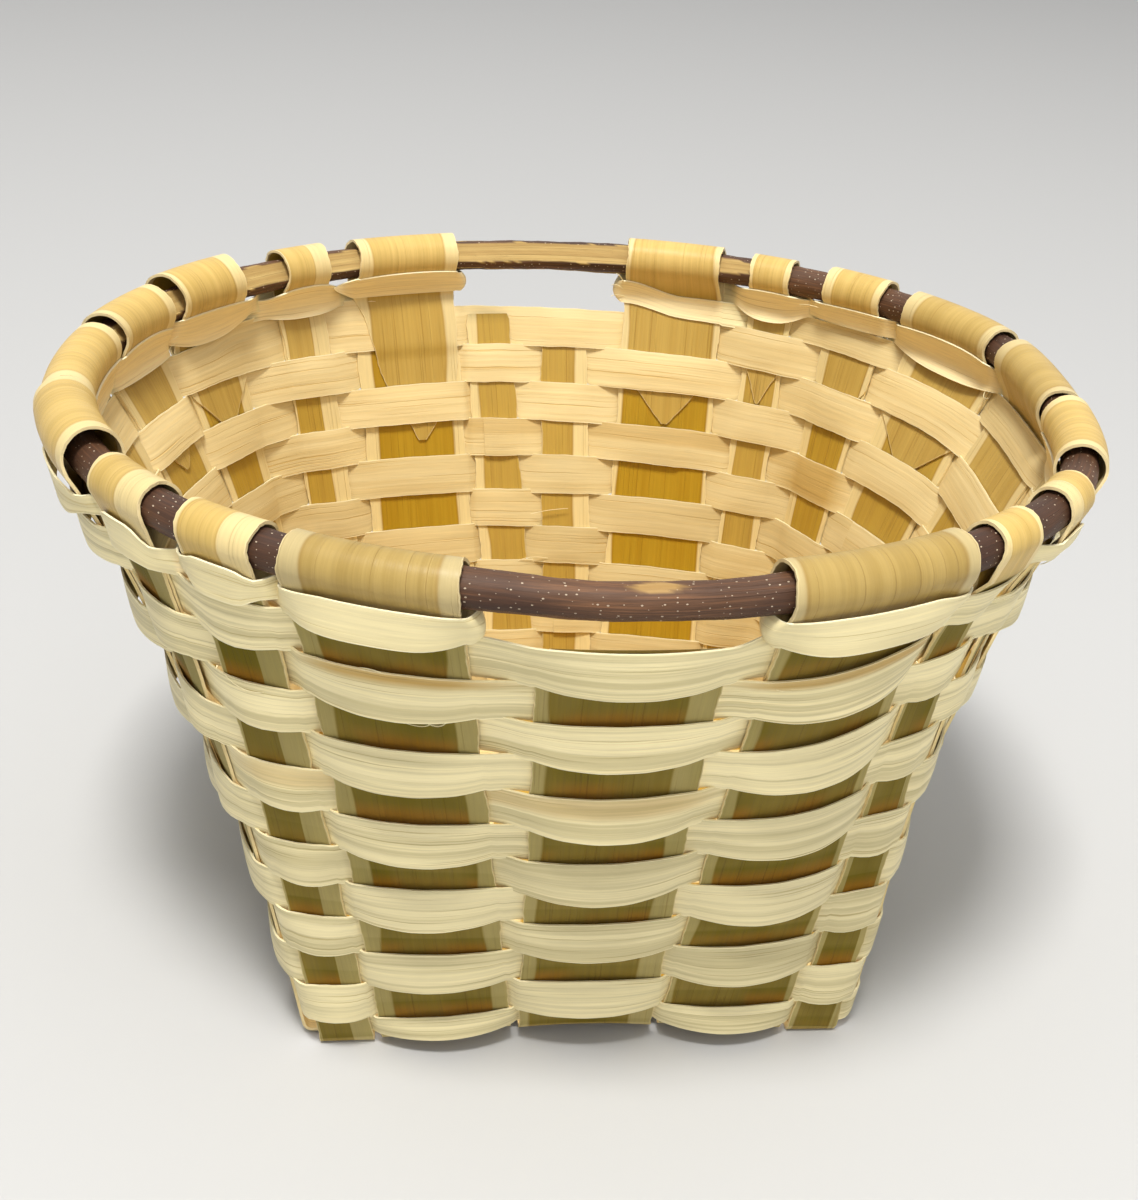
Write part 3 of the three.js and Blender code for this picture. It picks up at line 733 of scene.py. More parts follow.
class Board:
    """Places nodes in one node tree and links them."""

    def __init__(self, tree: bpy.types.NodeTree) -> None:
        """Work on a tree."""
        self.tree = tree

    def fill(self, node: bpy.types.Node, inputs: dict) -> None:
        """Link inputs of a node to other sockets, or give them numbers or colours.

        Args:
            node: The node.
            inputs: What each input gets, by its name or number.
        """
        for name, value in inputs.items():
            socket = node.inputs[name]
            if isinstance(value, bpy.types.NodeSocket):
                self.tree.links.new(value, socket)
            elif socket.type == "RGBA":
                socket.default_value = (*value, 1.0)
            else:
                socket.default_value = value

    def node(self, kind: str, inputs: Optional[dict] = None, **settings: object) -> bpy.types.Node:
        """Add a node.

        Args:
            kind: Type of the node.
            inputs: What its inputs get, by name or number.
            settings: Its properties by name.

        Returns:
            The new node.
        """
        made = self.tree.nodes.new(kind)
        for name, value in settings.items():
            setattr(made, name, value)
        self.fill(made, inputs or {})
        return made

    def math(self, operation: str, *values: object, clamp: bool = False) -> bpy.types.NodeSocket:
        """Add a Math node and return its output."""
        made = self.node("ShaderNodeMath", dict(enumerate(values)), operation=operation, use_clamp=clamp)
        return made.outputs[0]

    def plus(self, *values: object, clamp: bool = False) -> bpy.types.NodeSocket:
        """Add one value to another."""
        return self.math("ADD", *values, clamp=clamp)

    def minus(self, *values: object, clamp: bool = False) -> bpy.types.NodeSocket:
        """Take the second value from the first."""
        return self.math("SUBTRACT", *values, clamp=clamp)

    def times(self, *values: object, clamp: bool = False) -> bpy.types.NodeSocket:
        """Multiply two values."""
        return self.math("MULTIPLY", *values, clamp=clamp)

    def span(self, *numbers: object) -> bpy.types.NodeSocket:
        """Map a value smoothly from a low and a high number to a start and an end, or to 0 and 1."""
        inputs = dict(enumerate((*numbers, 0.0, 1.0)[:5]))
        return self.node("ShaderNodeMapRange", inputs, interpolation_type="SMOOTHSTEP").outputs[0]

    def blend(self, share: object, first: object, second: object, kind: str = "MIX") -> bpy.types.NodeSocket:
        """Mix two colours, at share 1 wholly the second."""
        inputs = {0: share, 6: first, 7: second}
        return self.node("ShaderNodeMix", inputs, data_type="RGBA", blend_type=kind).outputs[2]

    def grey(self, value: object) -> bpy.types.NodeSocket:
        """Add a grey colour of a given lightness."""
        return self.node("ShaderNodeCombineColor", dict.fromkeys(range(3), value)).outputs[0]

    def place(self, along: object, across: object, seed: object,
              scales: tuple[float, float]) -> bpy.types.NodeSocket:
        """Add a vector of scaled places along and across the grain."""
        inputs = {0: self.times(along, scales[0]), 1: self.times(across, scales[1]), 2: seed}
        return self.node("ShaderNodeCombineXYZ", inputs).outputs[0]

    def noise(self, vector: object, detail: float, rough: float = 0.5) -> bpy.types.NodeSocket:
        """Add a Noise Texture and return its factor."""
        inputs = {"Vector": vector, "Scale": 1.0, "Detail": detail, "Roughness": rough}
        return self.node("ShaderNodeTexNoise", inputs).outputs[0]

    def group(self, tree: bpy.types.NodeTree, **values: object) -> bpy.types.Node:
        """Place a node group and fill its inputs."""
        return self.node("ShaderNodeGroup", values, node_tree=tree)

    def attribute(self, name: str) -> bpy.types.Node:
        """Add a node that reads an attribute of the mesh."""
        return self.node("ShaderNodeAttribute", attribute_name=name)

    def surface(self) -> tuple[bpy.types.NodeSocket, ...]:
        """Read what the meshes say about their wood.

        Returns:
            Place along and across the grain, the piece's seed and the four marks.
        """
        grain = self.node("ShaderNodeUVMap", uv_map="grain").outputs[0]
        place = self.node("ShaderNodeSeparateXYZ", {0: grain})
        marks = self.attribute("marks")
        split = self.node("ShaderNodeSeparateColor", {0: marks.outputs["Color"]})
        return (place.outputs[0], place.outputs[1], self.attribute("seed").outputs["Fac"],
                *(split.outputs[k] for k in range(3)), marks.outputs["Alpha"])

    def relief(self, shader: bpy.types.Node, height: object, distance: float) -> None:
        """Give a shader a bumpy surface, on which a height of 1 measures a distance in metres."""
        bump = self.node("ShaderNodeBump", {"Height": height, "Distance": distance, "Strength": 0.9})
        self.fill(shader, {"Normal": bump.outputs[0]})


def new_group(name: str, inputs: Sequence[tuple[str, float]], outputs: Sequence[str]) -> tuple:
    """Start a shader node group of plain numbers.

    Args:
        name: Name of the group.
        inputs: Name and start value of each input.
        outputs: Name of each output.

    Returns:
        The group's board, its input node and its output node.
    """
    tree = bpy.data.node_groups.new(name, "ShaderNodeTree")
    for label, value in inputs:
        socket = tree.interface.new_socket(name=label, in_out="INPUT", socket_type="NodeSocketFloat")
        socket.default_value = value
    for label in outputs:
        tree.interface.new_socket(name=label, in_out="OUTPUT", socket_type="NodeSocketFloat")
    board = Board(tree)
    return board, board.node("NodeGroupInput"), board.node("NodeGroupOutput")


def new_material(name: str) -> tuple[bpy.types.Material, Board, bpy.types.Node]:
    """Start a material.

    Args:
        name: Name of the material.

    Returns:
        The material, its board and its shader.
    """
    made = bpy.data.materials.new(name)
    made.use_nodes = True
    return made, Board(made.node_tree), made.node_tree.nodes["Principled BSDF"]


class WoodGroups:
    """Shared effects of split wood, each built once."""

    def __init__(self) -> None:
        """Build every group."""
        self.grain = self._grain()
        self.sapwood = self._sapwood()
        self.wear = self._wear()

    @staticmethod
    def _grain() -> bpy.types.NodeTree:
        """Build long fibres, broad streaks and short cracks of a split face.

        Returns:
            The group.
        """
        board, source, result = new_group(
            "Split_grain",
            (("Along", 0.0), ("Across", 0.0), ("Seed", 0.0), ("Fineness", 1.0)),
            ("Fibre", "Streak", "Crack", "Cloud"))
        # The scales count waves to a metre, along and across the grain.
        along, across, seed, fineness = (source.outputs[k] for k in range(4))
        fine = board.times(across, fineness)
        bend = board.noise(board.place(along, fine, seed, (5, 12)), 1.0)
        bent = board.plus(fine, board.times(board.minus(bend, 0.5), 0.003))
        fibre = board.noise(board.place(along, bent, seed, (20, 820)), 4.0, 0.72)
        broad = board.noise(board.place(along, bent, board.plus(seed, 17.9), (1.6, 120)), 1.0)
        streak = board.noise(board.place(along, bent, board.plus(seed, 7.3), (2.4, 400)), 3.0, 0.62)
        crack = board.noise(board.place(along, bent, board.plus(seed, 3.1), (8, 1250)), 1.0)
        cloud = board.noise(board.place(along, fine, board.plus(seed, 11.7), (12, 22)), 2.0)
        mixed = board.plus(board.times(streak, 0.55), board.times(broad, 0.45))
        board.fill(result, {"Fibre": fibre, "Streak": board.span(mixed, 0.38, 0.62),
                            "Crack": board.span(crack, 0.63, 0.72), "Cloud": board.span(cloud, 0.3, 0.7)})
        return board.tree

    @staticmethod
    def _sapwood() -> bpy.types.NodeTree:
        """Build the paler strips along both edges of a splint.

        Returns:
            The group.
        """
        board, source, result = new_group(
            "Sapwood_edges",
            (("Share", 0.0), ("Left", 0.1), ("Right", 0.1), ("Wander", 0.5)),
            ("Sap", "Line"))
        share, left, right, wander = (source.outputs[k] for k in range(4))
        shifted = board.plus(share, board.times(board.minus(wander, 0.5), 0.10))
        inner_right = board.minus(1.0, board.times(right, 2.0))
        inner_left = board.minus(board.times(left, 2.0), 1.0)
        beyond = board.math("MAXIMUM", board.minus(shifted, inner_right), board.minus(inner_left, shifted))
        line = board.span(board.math("ABSOLUTE", beyond), 0.0, 0.05, 1.0, 0.0)
        board.fill(result, {"Sap": board.span(beyond, -0.015, 0.03), "Line": line})
        return board.tree

    @staticmethod
    def _wear() -> bpy.types.NodeTree:
        """Build the pale, broken edge of a strip.

        Returns:
            The group.
        """
        board, source, result = new_group(
            "Worn_edge",
            (("Distance", 0.0), ("Noise", 0.5), ("Reach", 0.001)),
            ("Edge",))
        distance, noise, reach = (source.outputs[k] for k in range(3))
        rough = board.times(reach, board.plus(noise, 0.2))
        board.fill(result, {"Edge": board.minus(1.0, board.math("DIVIDE", distance, rough), clamp=True)})
        return board.tree


def blended(first: Colour, second: Colour, share: float) -> Colour:
    """Mix two colours."""
    return tuple(a + (b - a) * share for a, b in zip(first, second))


@dataclass(frozen=True)
class WoodFinish:
    """Colours and surface of one kind of split wood, outer face and inner face."""

    name: str
    outer: Colour
    inner: Colour
    outer_streak: Colour
    inner_streak: Colour
    sap: Colour
    # Stain colour, on the stakes' outer face painted shade between the bands as well as olive stain.
    stain_and_shade: Colour
    stain_warm: Colour
    edge: Colour
    streak_share: float = 0.5
    sap_share: float = 0.9
    line_share: float = 0.25
    worn_share: float = 0.6
    fibre_depth: float = 0.16
    crack_share: float = 0.35
    fineness: float = 1.0
    edge_reach: float = 0.0008
    # Sapwood under the stain, on the stakes' outer face painted shade as well as stain.
    sap_stain_and_shade: Colour = (0.26, 0.215, 0.055)
    stain_inside: float = 1.0
    stain_roughens: float = 0.0
    rough: float = 0.5
    sheen: float = 0.35
    relief: float = 0.00018

    def material(self, groups: WoodGroups, sap: tuple[float, float], pale: float = 0.0,
                 label: str = "") -> bpy.types.Material:
        """Build the material.

        Args:
            groups: The shared effects.
            sap: Share of the width that is sapwood at the lower and the upper edge of the share.
            pale: How far the inner face is as pale as sapwood.
            label: Words added to the name.

        Returns:
            The new material.
        """
        made, board, shader = new_material(self.name + label)
        along, across, seed, share, stain_and_shade, tone, face = board.surface()
        grain = board.group(groups.grain, Along=along, Across=across, Seed=seed, Fineness=self.fineness)
        fibre, streak, crack, cloud = (grain.outputs[k] for k in range(4))
        # A stain below zero turns the outer face golden like the inner one, over one it burns brown.
        # From 0 to 1 it mixes in the stain colour, on the stakes' outer face painted shade between the
        # bands as well as olive stain.
        golden = board.math("MAXIMUM", board.times(stain_and_shade, -1.0), 0.0)
        turned = board.minus(face, golden, clamp=True)
        plain = board.blend(turned, blended(self.inner, self.sap, pale), self.outer)
        lined = board.blend(turned, blended(self.inner_streak, self.sap, pale), self.outer_streak)
        colour = board.blend(board.times(streak, self.streak_share), plain, lined)
        bands = board.group(groups.sapwood, Share=share, Left=sap[0], Right=sap[1], Wander=cloud)
        colour = board.blend(board.times(bands.outputs["Sap"], self.sap_share), colour, self.sap)
        line = board.times(bands.outputs["Line"], self.line_share)
        colour = board.blend(line, colour, lined, "MULTIPLY")
        shade = board.plus(board.times(fibre, 2 * self.fibre_depth), 1 - self.fibre_depth)
        shade = board.times(shade, tone)
        colour = board.blend(1.0, colour, board.grey(shade), "MULTIPLY")
        spared = board.minus(1.0, board.times(bands.outputs["Sap"], 0.10))
        # How far the stain colour covers the wood, on the stakes' outer face as painted shade and stain.
        stain_and_shade_share = board.times(board.math("MINIMUM", stain_and_shade, 1.0), board.plus(0.85, board.times(cloud, 0.15)))
        within = board.plus(self.stain_inside, board.times(face, 1 - self.stain_inside))
        stain_and_shade_share = board.times(board.times(stain_and_shade_share, within), spared, clamp=True)
        burnt = board.times(board.minus(stain_and_shade, 1.0), board.span(cloud, 0.1, 0.6, 0.2, 1.0))
        stained_and_shaded = board.blend(board.math("MAXIMUM", burnt, 0.0), self.stain_and_shade, self.stain_warm)
        stained_and_shaded = board.blend(board.times(bands.outputs["Sap"], self.sap_share), stained_and_shaded, self.sap_stain_and_shade)
        lighter = board.plus(0.72, board.times(fibre, 0.56))
        stained_and_shaded = board.blend(1.0, stained_and_shaded, board.grey(lighter), "MULTIPLY")
        colour = board.blend(stain_and_shade_share, colour, stained_and_shaded)
        colour = board.blend(board.times(crack, self.crack_share), colour, lined, "MULTIPLY")
        distance = board.attribute("edge").outputs["Fac"]
        worn = board.group(groups.wear, Distance=distance, Noise=fibre, Reach=self.edge_reach)
        colour = board.blend(board.times(worn.outputs[0], self.worn_share), colour, self.edge)
        smooth = board.span(fibre, 0.2, 0.8, self.rough - 0.08, self.rough + 0.14)
        rough = board.plus(smooth, board.times(stain_and_shade_share, self.stain_roughens), clamp=True)
        board.fill(shader, {"Base Color": colour, "Roughness": rough, "Specular IOR Level": self.sheen})
        height = board.minus(board.times(fibre, 0.8), board.times(crack, 0.8))
        board.relief(shader, board.plus(height, board.times(streak, 0.5)), self.relief)
        return made


@dataclass(frozen=True)
class BarkFinish:
    """Bark of the rod, with pale dots and fine cracks, and the split face of its back."""

    name: str = "Rod_bark"
    dark: Colour = (0.070, 0.029, 0.015)
    warm: Colour = (0.205, 0.095, 0.043)
    line: Colour = (0.028, 0.014, 0.009)
    dot: Colour = (0.62, 0.50, 0.36)
    scar: Colour = (0.43, 0.265, 0.095)
    wood: Colour = (0.68, 0.49, 0.19)
    wood_streak: Colour = (0.34, 0.20, 0.06)
    rough: float = 0.5
    sheen: float = 0.3
    relief: float = 0.00035
    dot_scales: tuple[float, float] = (230, 310)
    dot_share: float = 0.35

    def material(self, groups: WoodGroups) -> bpy.types.Material:
        """Build the material.

        Args:
            groups: The shared effects.

        Returns:
            The new material.
        """
        made, board, shader = new_material(self.name)
        along, across, seed, bare, knot = board.surface()[:5]
        grain = board.group(groups.grain, Along=along, Across=across, Seed=seed, Fineness=0.8)
        fibre, streak, crack, cloud = (grain.outputs[k] for k in range(4))
        bark = board.blend(cloud, self.dark, self.warm)
        bark = board.blend(board.times(board.span(fibre, 0.45, 0.7, 1.0, 0.0), 0.55), bark, self.line)
        place = board.place(along, across, seed, self.dot_scales)
        dots = board.node("ShaderNodeTexVoronoi", {"Vector": place, "Scale": 1.0, "Randomness": 1.0},
                          feature="F1", voronoi_dimensions="2D")
        picked = board.node("ShaderNodeSeparateColor", {0: dots.outputs["Color"]})
        size = board.plus(0.05, board.times(board.span(picked.outputs[0], 0.2, 1.0), 0.07))
        few = board.math("GREATER_THAN", picked.outputs[1], self.dot_share)
        dot = board.times(board.math("LESS_THAN", dots.outputs["Distance"], size), few)
        bark = board.blend(board.times(dot, 0.8), bark, self.dot)
        bark = board.blend(knot, bark, board.blend(streak, self.scar, self.wood_streak))
        wood = board.blend(board.times(streak, 0.7), self.wood, self.wood_streak)
        wood = board.blend(board.span(cloud, 0.6, 1.0, 0.0, 0.35), wood, self.wood_streak)
        colour = board.blend(bare, bark, wood)
        shade = board.plus(0.85, board.times(fibre, 0.3))
        colour = board.blend(1.0, colour, board.grey(shade), "MULTIPLY")
        gloss = board.plus(self.rough - 0.06, board.times(fibre, 0.25))
        rough = board.plus(gloss, board.times(bare, 0.18))
        board.fill(shader, {"Base Color": colour, "Roughness": rough, "Specular IOR Level": self.sheen})
        height = board.plus(board.times(fibre, 0.9), board.times(dot, 0.6))
        board.relief(shader, board.minus(height, board.times(crack, 0.7)), self.relief)
        return made


# On the stakes the olive stain colours paint shade between the bands as well as stain; the warm one is the
# brown stain above each band.
STAKE_WOOD = WoodFinish(
    name="Stake_wood", outer=(0.69, 0.48, 0.155), inner=(0.47, 0.280, 0.018),
    outer_streak=(0.50, 0.325, 0.08), inner_streak=(0.38, 0.20, 0.009), sap=(0.84, 0.67, 0.33),
    stain_and_shade=(0.125, 0.095, 0.001), stain_warm=(0.265, 0.110, 0.005), edge=(0.90, 0.74, 0.42), streak_share=0.45,
    fibre_depth=0.16, crack_share=0.3, stain_inside=0.0, stain_roughens=0.4, rough=0.36, sheen=0.2)
WEAVER_WOOD = WoodFinish(
    name="Weaver_wood", outer=(0.96, 0.84, 0.49), inner=(0.85, 0.68, 0.35),
    outer_streak=(0.53, 0.45, 0.22), inner_streak=(0.76, 0.575, 0.26), sap=(0.92, 0.80, 0.50),
    stain_and_shade=(0.54, 0.34, 0.09), stain_warm=(0.50, 0.25, 0.08), edge=(0.98, 0.90, 0.60), streak_share=0.68,
    sap_stain_and_shade=(0.54, 0.34, 0.09), fibre_depth=0.2, crack_share=0.55, fineness=0.9, edge_reach=0.001,
    rough=0.46, sheen=0.28)
BINDER_WOOD = WoodFinish(
    name="Binder_wood", outer=(0.91, 0.79, 0.45), inner=(0.91, 0.79, 0.45),
    outer_streak=(0.66, 0.56, 0.30), inner_streak=(0.66, 0.56, 0.30), sap=(0.93, 0.84, 0.58),
    stain_and_shade=(0.98, 0.80, 0.45), stain_warm=(0.98, 0.80, 0.45), sap_stain_and_shade=(0.98, 0.80, 0.45),
    edge=(0.98, 0.92, 0.66), streak_share=0.5, fibre_depth=0.18, crack_share=0.5, fineness=0.9,
    edge_reach=0.001, rough=0.46, sheen=0.25)


@dataclass
class Rod:
    """Rim rod, split flat on its inner side towards the back, its two long ends lapped there."""

    wall: Wall
    finish: BarkFinish
    groups: WoodGroups
    seed: int = 11
    grain_seed: float = 2.0
    round_points: int = 40
    step: float = 3.5
    flat: float = 6.5
    face_tilt: float = 33.0
    bare_left: tuple[float, float] = (300.0, 370.0)
    bare_right: tuple[float, float] = (95.0, 165.0)
    lap_length: float = 190.0
    lap_tip: float = 1.4
    knot_arc: float = -7.0
    knot_reach: float = 11.0
    thinner_front: float = 0.9
    sag: float = 2.3
    sag_reach: float = 78.0
    sag_reach_right: float = 150.0
    sharp: float = 42.0

    def _section(self, arc: np.ndarray, angle: np.ndarray) -> tuple[np.ndarray, ...]:
        """Cut the rod's section: round, split flat towards the back and shaved to a lap.

        Args:
            arc: Places along the rim, one to a row.
            angle: Places round the rod, one to a column.

        Returns:
            Distance out of the split face's plane, distance along it, and 1 where the wood is bare.
        """
        hoop, radius = self.wall.hoop, self.wall.rod_radius
        back = hoop.length / 2
        start, end = arc[0, 0], arc[-1, 0]
        lumps = Ripple(self.seed, ((0.16, 61), (0.12, 23), (0.08, 9)))
        slim = self.thinner_front * (1 - ease(np.abs(arc), 25, 95))
        size = radius + lumps.at(arc + 30 * np.sin(angle)) - 0.1 - slim
        from_back = np.minimum(np.abs(arc - back), np.abs(arc + back))
        is_left = (np.mod(arc, hoop.length) < back)
        first = np.where(is_left, self.bare_left[0], self.bare_right[0])
        last = np.where(is_left, self.bare_left[1], self.bare_right[1])
        share = np.clip((from_back - first) / (last - first), 0, 1)
        plane = -mix(self.flat, radius + 0.5, share * share * (3 - 2 * share))
        off_face, over_face = size * np.cos(angle), size * np.sin(angle)
        span = radius + self.flat - 2 * self.lap_tip
        high = -self.flat + self.lap_tip + span * np.clip((arc - start) / self.lap_length, 0, 1.2) - 0.15
        low = -self.flat + self.lap_tip + span * np.clip(1 - (end - arc) / self.lap_length, -0.4, 1) + 0.15
        in_first = arc < start + self.lap_length
        in_last = arc > end - self.lap_length
        clipped = np.maximum(off_face, plane)
        clipped = np.where(in_first, np.minimum(clipped, high), clipped)
        clipped = np.where(in_last, np.maximum(clipped, low), clipped)
        bare = (np.abs(clipped - off_face) > 0.05).astype(float)
        chips = Ripple(self.seed + 1, ((0.12, 17), (0.1, 7)))
        return clipped + bare * chips.at(arc + 9 * np.sin(3 * angle)), over_face, bare

    def build(self) -> bpy.types.Object:
        """Build the rod with its bark.

        Returns:
            The visible rod.
        """
        hoop, radius = self.wall.hoop, self.wall.rod_radius
        end = hoop.length / 2 + self.lap_length / 2
        rows, count = int(2 * end / self.step), self.round_points
        arc = np.linspace(-end, end, rows)[:, None]
        angle = np.linspace(0, 2 * math.pi, count, endpoint=False)[None, :]
        clipped, over_face, bare = self._section(arc, angle)
        tilt = math.radians(self.face_tilt)
        out = clipped * math.cos(tilt) + over_face * math.sin(tilt)
        rise = -clipped * math.sin(tilt) + over_face * math.cos(tilt)
        centre, along = hoop.point(arc[:, 0]), hoop.along(arc[:, 0])
        outward = unit(np.cross(UP, along))
        reach = np.where(arc < 0, self.sag_reach_right, self.sag_reach)
        hang = self.sag * np.cos(math.pi / 2 * np.minimum(np.abs(arc) / reach, 1)) ** 2
        points = centre[:, None, :] + outward[:, None, :] * out[..., None] + UP * (rise - hang)[..., None]
        knot_angle = np.arctan2(rise, out)
        near = ((arc - self.knot_arc) / self.knot_reach) ** 2 + ((knot_angle - 1.3) / 0.38) ** 2
        knot = np.clip(2.5 * (1.15 - near), 0, 1) * (1 - bare)
        marks = np.stack([bare, knot, np.ones_like(knot), np.ones_like(knot)], axis=-1).reshape(-1, 4)
        arcs = np.broadcast_to(arc, knot.shape)
        grain = np.stack([arcs, radius * np.broadcast_to(angle, knot.shape)], axis=-1).reshape(-1, 2) * MM
        ring = np.arange(rows * count).reshape(rows, count)
        faces = [strip(ring, np.roll(ring, -1, axis=1))]
        half = count // 2
        for line, way in ((ring[0], 1), (ring[-1], -1)):
            cap = strip(line[:half + 1], np.concatenate([line[:1], line[half:][::-1]]))
            faces.append(cap[:, ::way])
        far_from_edge = np.full(rows * count, 0.01)
        piece = make_object("rod", points.reshape(-1, 3), np.concatenate(faces), grain, marks, far_from_edge,
                            self.grain_seed, self.finish.material(self.groups), self.sharp)
        return carried(piece, "rim_hoop")


@dataclass
class Splint:
    """One splint from rim to rim: tail, loop over the rod, stake, base and the other end."""

    wall: Wall
    plan: SplintPlan
    lane: int
    crossed: Sequence[SplintPlan]
    finish: WoodFinish
    groups: WoodGroups
    column_step: float = 4.5
    row_step: float = 3.5
    # How strongly the outer face is painted olive between the bands, as painted shade and stain.
    aged_and_shaded: float = 1.0
    golden_tail: float = 0.5
    tail_tone: float = 0.93
    fading: float = 0.1
    burn: float = 0.8
    dry_top: float = 0.3
    ragged: float = 0.45
    tail_step: float = 3.0
    loop_turn: float = 225.0
    loop_rows: int = 22
    crossing_half: float = 3.5
    loop_fade: tuple[float, float] = (10, 22)
    # Share of that olive darkening on the fold and the base.
    floor_darkening: float = 0.6

    def __post_init__(self) -> None:
        """Seed the splint's own unevenness."""
        self.seed = 100 + 7 * self.plan.start
        waves = ((self.ragged, 83), (self.ragged * 0.7, 31), (self.ragged * 0.4, 9))
        self.edges = [Ripple(self.seed + k, waves) for k in range(2)]
        self.cup = Ripple(self.seed + 5, ((0.35, 140), (0.2, 60)))

    def _profile(self, stake: Stake) -> tuple[np.ndarray, ...]:
        """Lay out one end from the tail's tip over the loop down to the fold.

        Args:
            stake: The stake at that end.

        Returns:
            Depth, offset, half thickness, both edges, painted shade and stain, and lightness, one value for
            each row.
        """
        wall = self.wall
        parts: list[tuple[np.ndarray, ...]] = []
        if stake.tail is not None:
            top = wall.loop_end(stake)[0]
            count = int((stake.tail - top) / self.tail_step)
            depth = np.linspace(stake.tail, top, count, endpoint=False)
            offset = wall.tail_offset(stake, depth)
            if stake.over_row is not None:
                middle = wall.row_middle(stake.over_row * len(STAKES) + stake.number)
                lift = 1 - ease(np.abs(depth - middle), wall.weaver_width / 2, wall.weaver_width / 2 + 8)
                offset = offset - lift * (wall.weaver_sheet + 2 * wall.weave_slack)
            thinned = mix(wall.stake_sheet, wall.tail_sheet, ease(depth, top, wall.tuck_depth)) / 2
            parts.append((depth, offset, thinned, *stake.tail_bounds(depth, wall.tuck_depth)))
            first = stake.drop - stake.slack / 2
            turn = np.radians(np.linspace(self.loop_turn, 0, self.loop_rows, endpoint=False))
            whole = np.ones_like(turn)
            parts.append((first - stake.loop * np.sin(turn), stake.loop * np.cos(turn),
                          whole * (wall.stake_sheet / 2), -whole, whole))
        else:
            first = float(stake.top_end)
        end = stake.length - wall.fold_radius
        depth = np.linspace(first, end, int((end - first) / self.row_step) + 1)
        rounded = np.ones_like(depth)
        if stake.tail is None:
            rounded = 1 - 0.12 * (1 - ease(depth, first, first + 6))
        # The loop's centre is raised by half the slack, so the wall starts above the rod's middle.
        offset = wall.flare(stake, np.maximum(depth, 0))
        parts.append((depth, offset, np.full_like(depth, wall.stake_sheet / 2), -rounded, rounded))
        rows = [np.concatenate(values) for values in zip(*parts)]
        places = rows[0]
        above = len(places) - len(depth)
        below_loop = ease(places, *self.loop_fade)
        golden = -self.golden_tail * below_loop[:above]
        # Below the rod the outer face is painted olive between the bands, partly shade and partly stain.
        shade_and_age = np.concatenate([golden, ease(depth, 8, 26) * self._window_shade_and_age(stake, depth)])
        if stake.tail is not None:
            # A loop takes its own lightness, for the two dark front loops partly painted shade.
            shade = mix(1.0, stake.loop_tone, 1 - below_loop)
            shade[:above] *= mix(1.0, self.tail_tone, below_loop[:above])
        else:
            shade = 1 - self.dry_top * (1 - ease(places, first + 1, first + 5))
        return (*rows, shade_and_age, shade)

    def _window_shade_and_age(self, stake: Stake, depth: np.ndarray) -> np.ndarray:
        """Return how far the outer face is darkened between the bands that pass over it, as painted shade and
        olive stain.

        Args:
            stake: The stake.
            depth: Distances down the wall.

        Returns:
            0 for fresh wood, 1 for the olive of painted shade and stain, over 1 where it is burnt brown above
            a band.
        """
        first = stake.number if stake.number % 2 == 0 else stake.number + len(STAKES)
        turn = 2 * self.wall.row_pitch
        below = np.mod(depth - self.wall.row_middle(first) + turn / 2, turn) - turn / 2
        faded = 1 - self.fading * ease(depth, 120, 215)
        burnt = ease(below, 1, 11) * (1 - ease(below, 17, 21))
        return self.aged_and_shaded * faded + burnt * (1 - self.aged_and_shaded * faded + self.burn)

    def _end_rows(self, number: int, u: np.ndarray, is_start: bool, seed: int) -> tuple[np.ndarray, ...]:
        """Return points, half thickness and marks of one end, from its tip to the floor.

        Args:
            number: Number of the stake.
            u: Places across the splint, -1 to 1 clockwise at its start.
            is_start: Whether the stake is at the splint's start.
            seed: Number for the ragged edges.

        Returns:
            Points and places across the splint by row and column; half thickness, painted shade and stain,
            and lightness by row.
        """
        wall, stake = self.wall, STAKES[number]
        depth, offset, half, low, high, shade_and_age, shade = self._profile(stake)
        v = u if is_start else -u
        walked = np.arange(len(depth)) * 4.0
        jitter = np.where(v[None, :] > 0, self.edges[0].at(walked + seed)[:, None],
                          self.edges[1].at(walked + seed)[:, None])
        spread = mix(low[:, None], high[:, None], (v[None, :] + 1) / 2)
        spread = spread + v[None, :] * jitter / (stake.width / 2) * np.abs(v[None, :]) ** 3
        points = wall.on_stake(stake, spread, depth[:, None], offset[:, None])
        edge = wall.on_stake(stake, v, np.full_like(v, stake.length - wall.fold_radius), np.zeros_like(v))
        corner = stake.foot(wall.base, v, 0)
        floor = stake.foot(wall.base, v, wall.fold_radius)
        share = np.linspace(0, 1, 6)[1:, None, None]
        fold = (1 - share) ** 2 * edge + 2 * share * (1 - share) * corner + share ** 2 * floor
        points = np.concatenate([points, fold])
        placed = np.concatenate([spread, np.repeat(v[None, :], 5, axis=0)])
        extra = np.full(5, wall.stake_sheet / 2)
        # The fold takes a share of the same olive darkening.
        shade_and_age = np.concatenate([shade_and_age, np.full(5, self.floor_darkening * self.aged_and_shaded)])
        return (points, placed if is_start else -placed, np.concatenate([half, extra]), shade_and_age,
                np.concatenate([shade, np.ones(5)]))

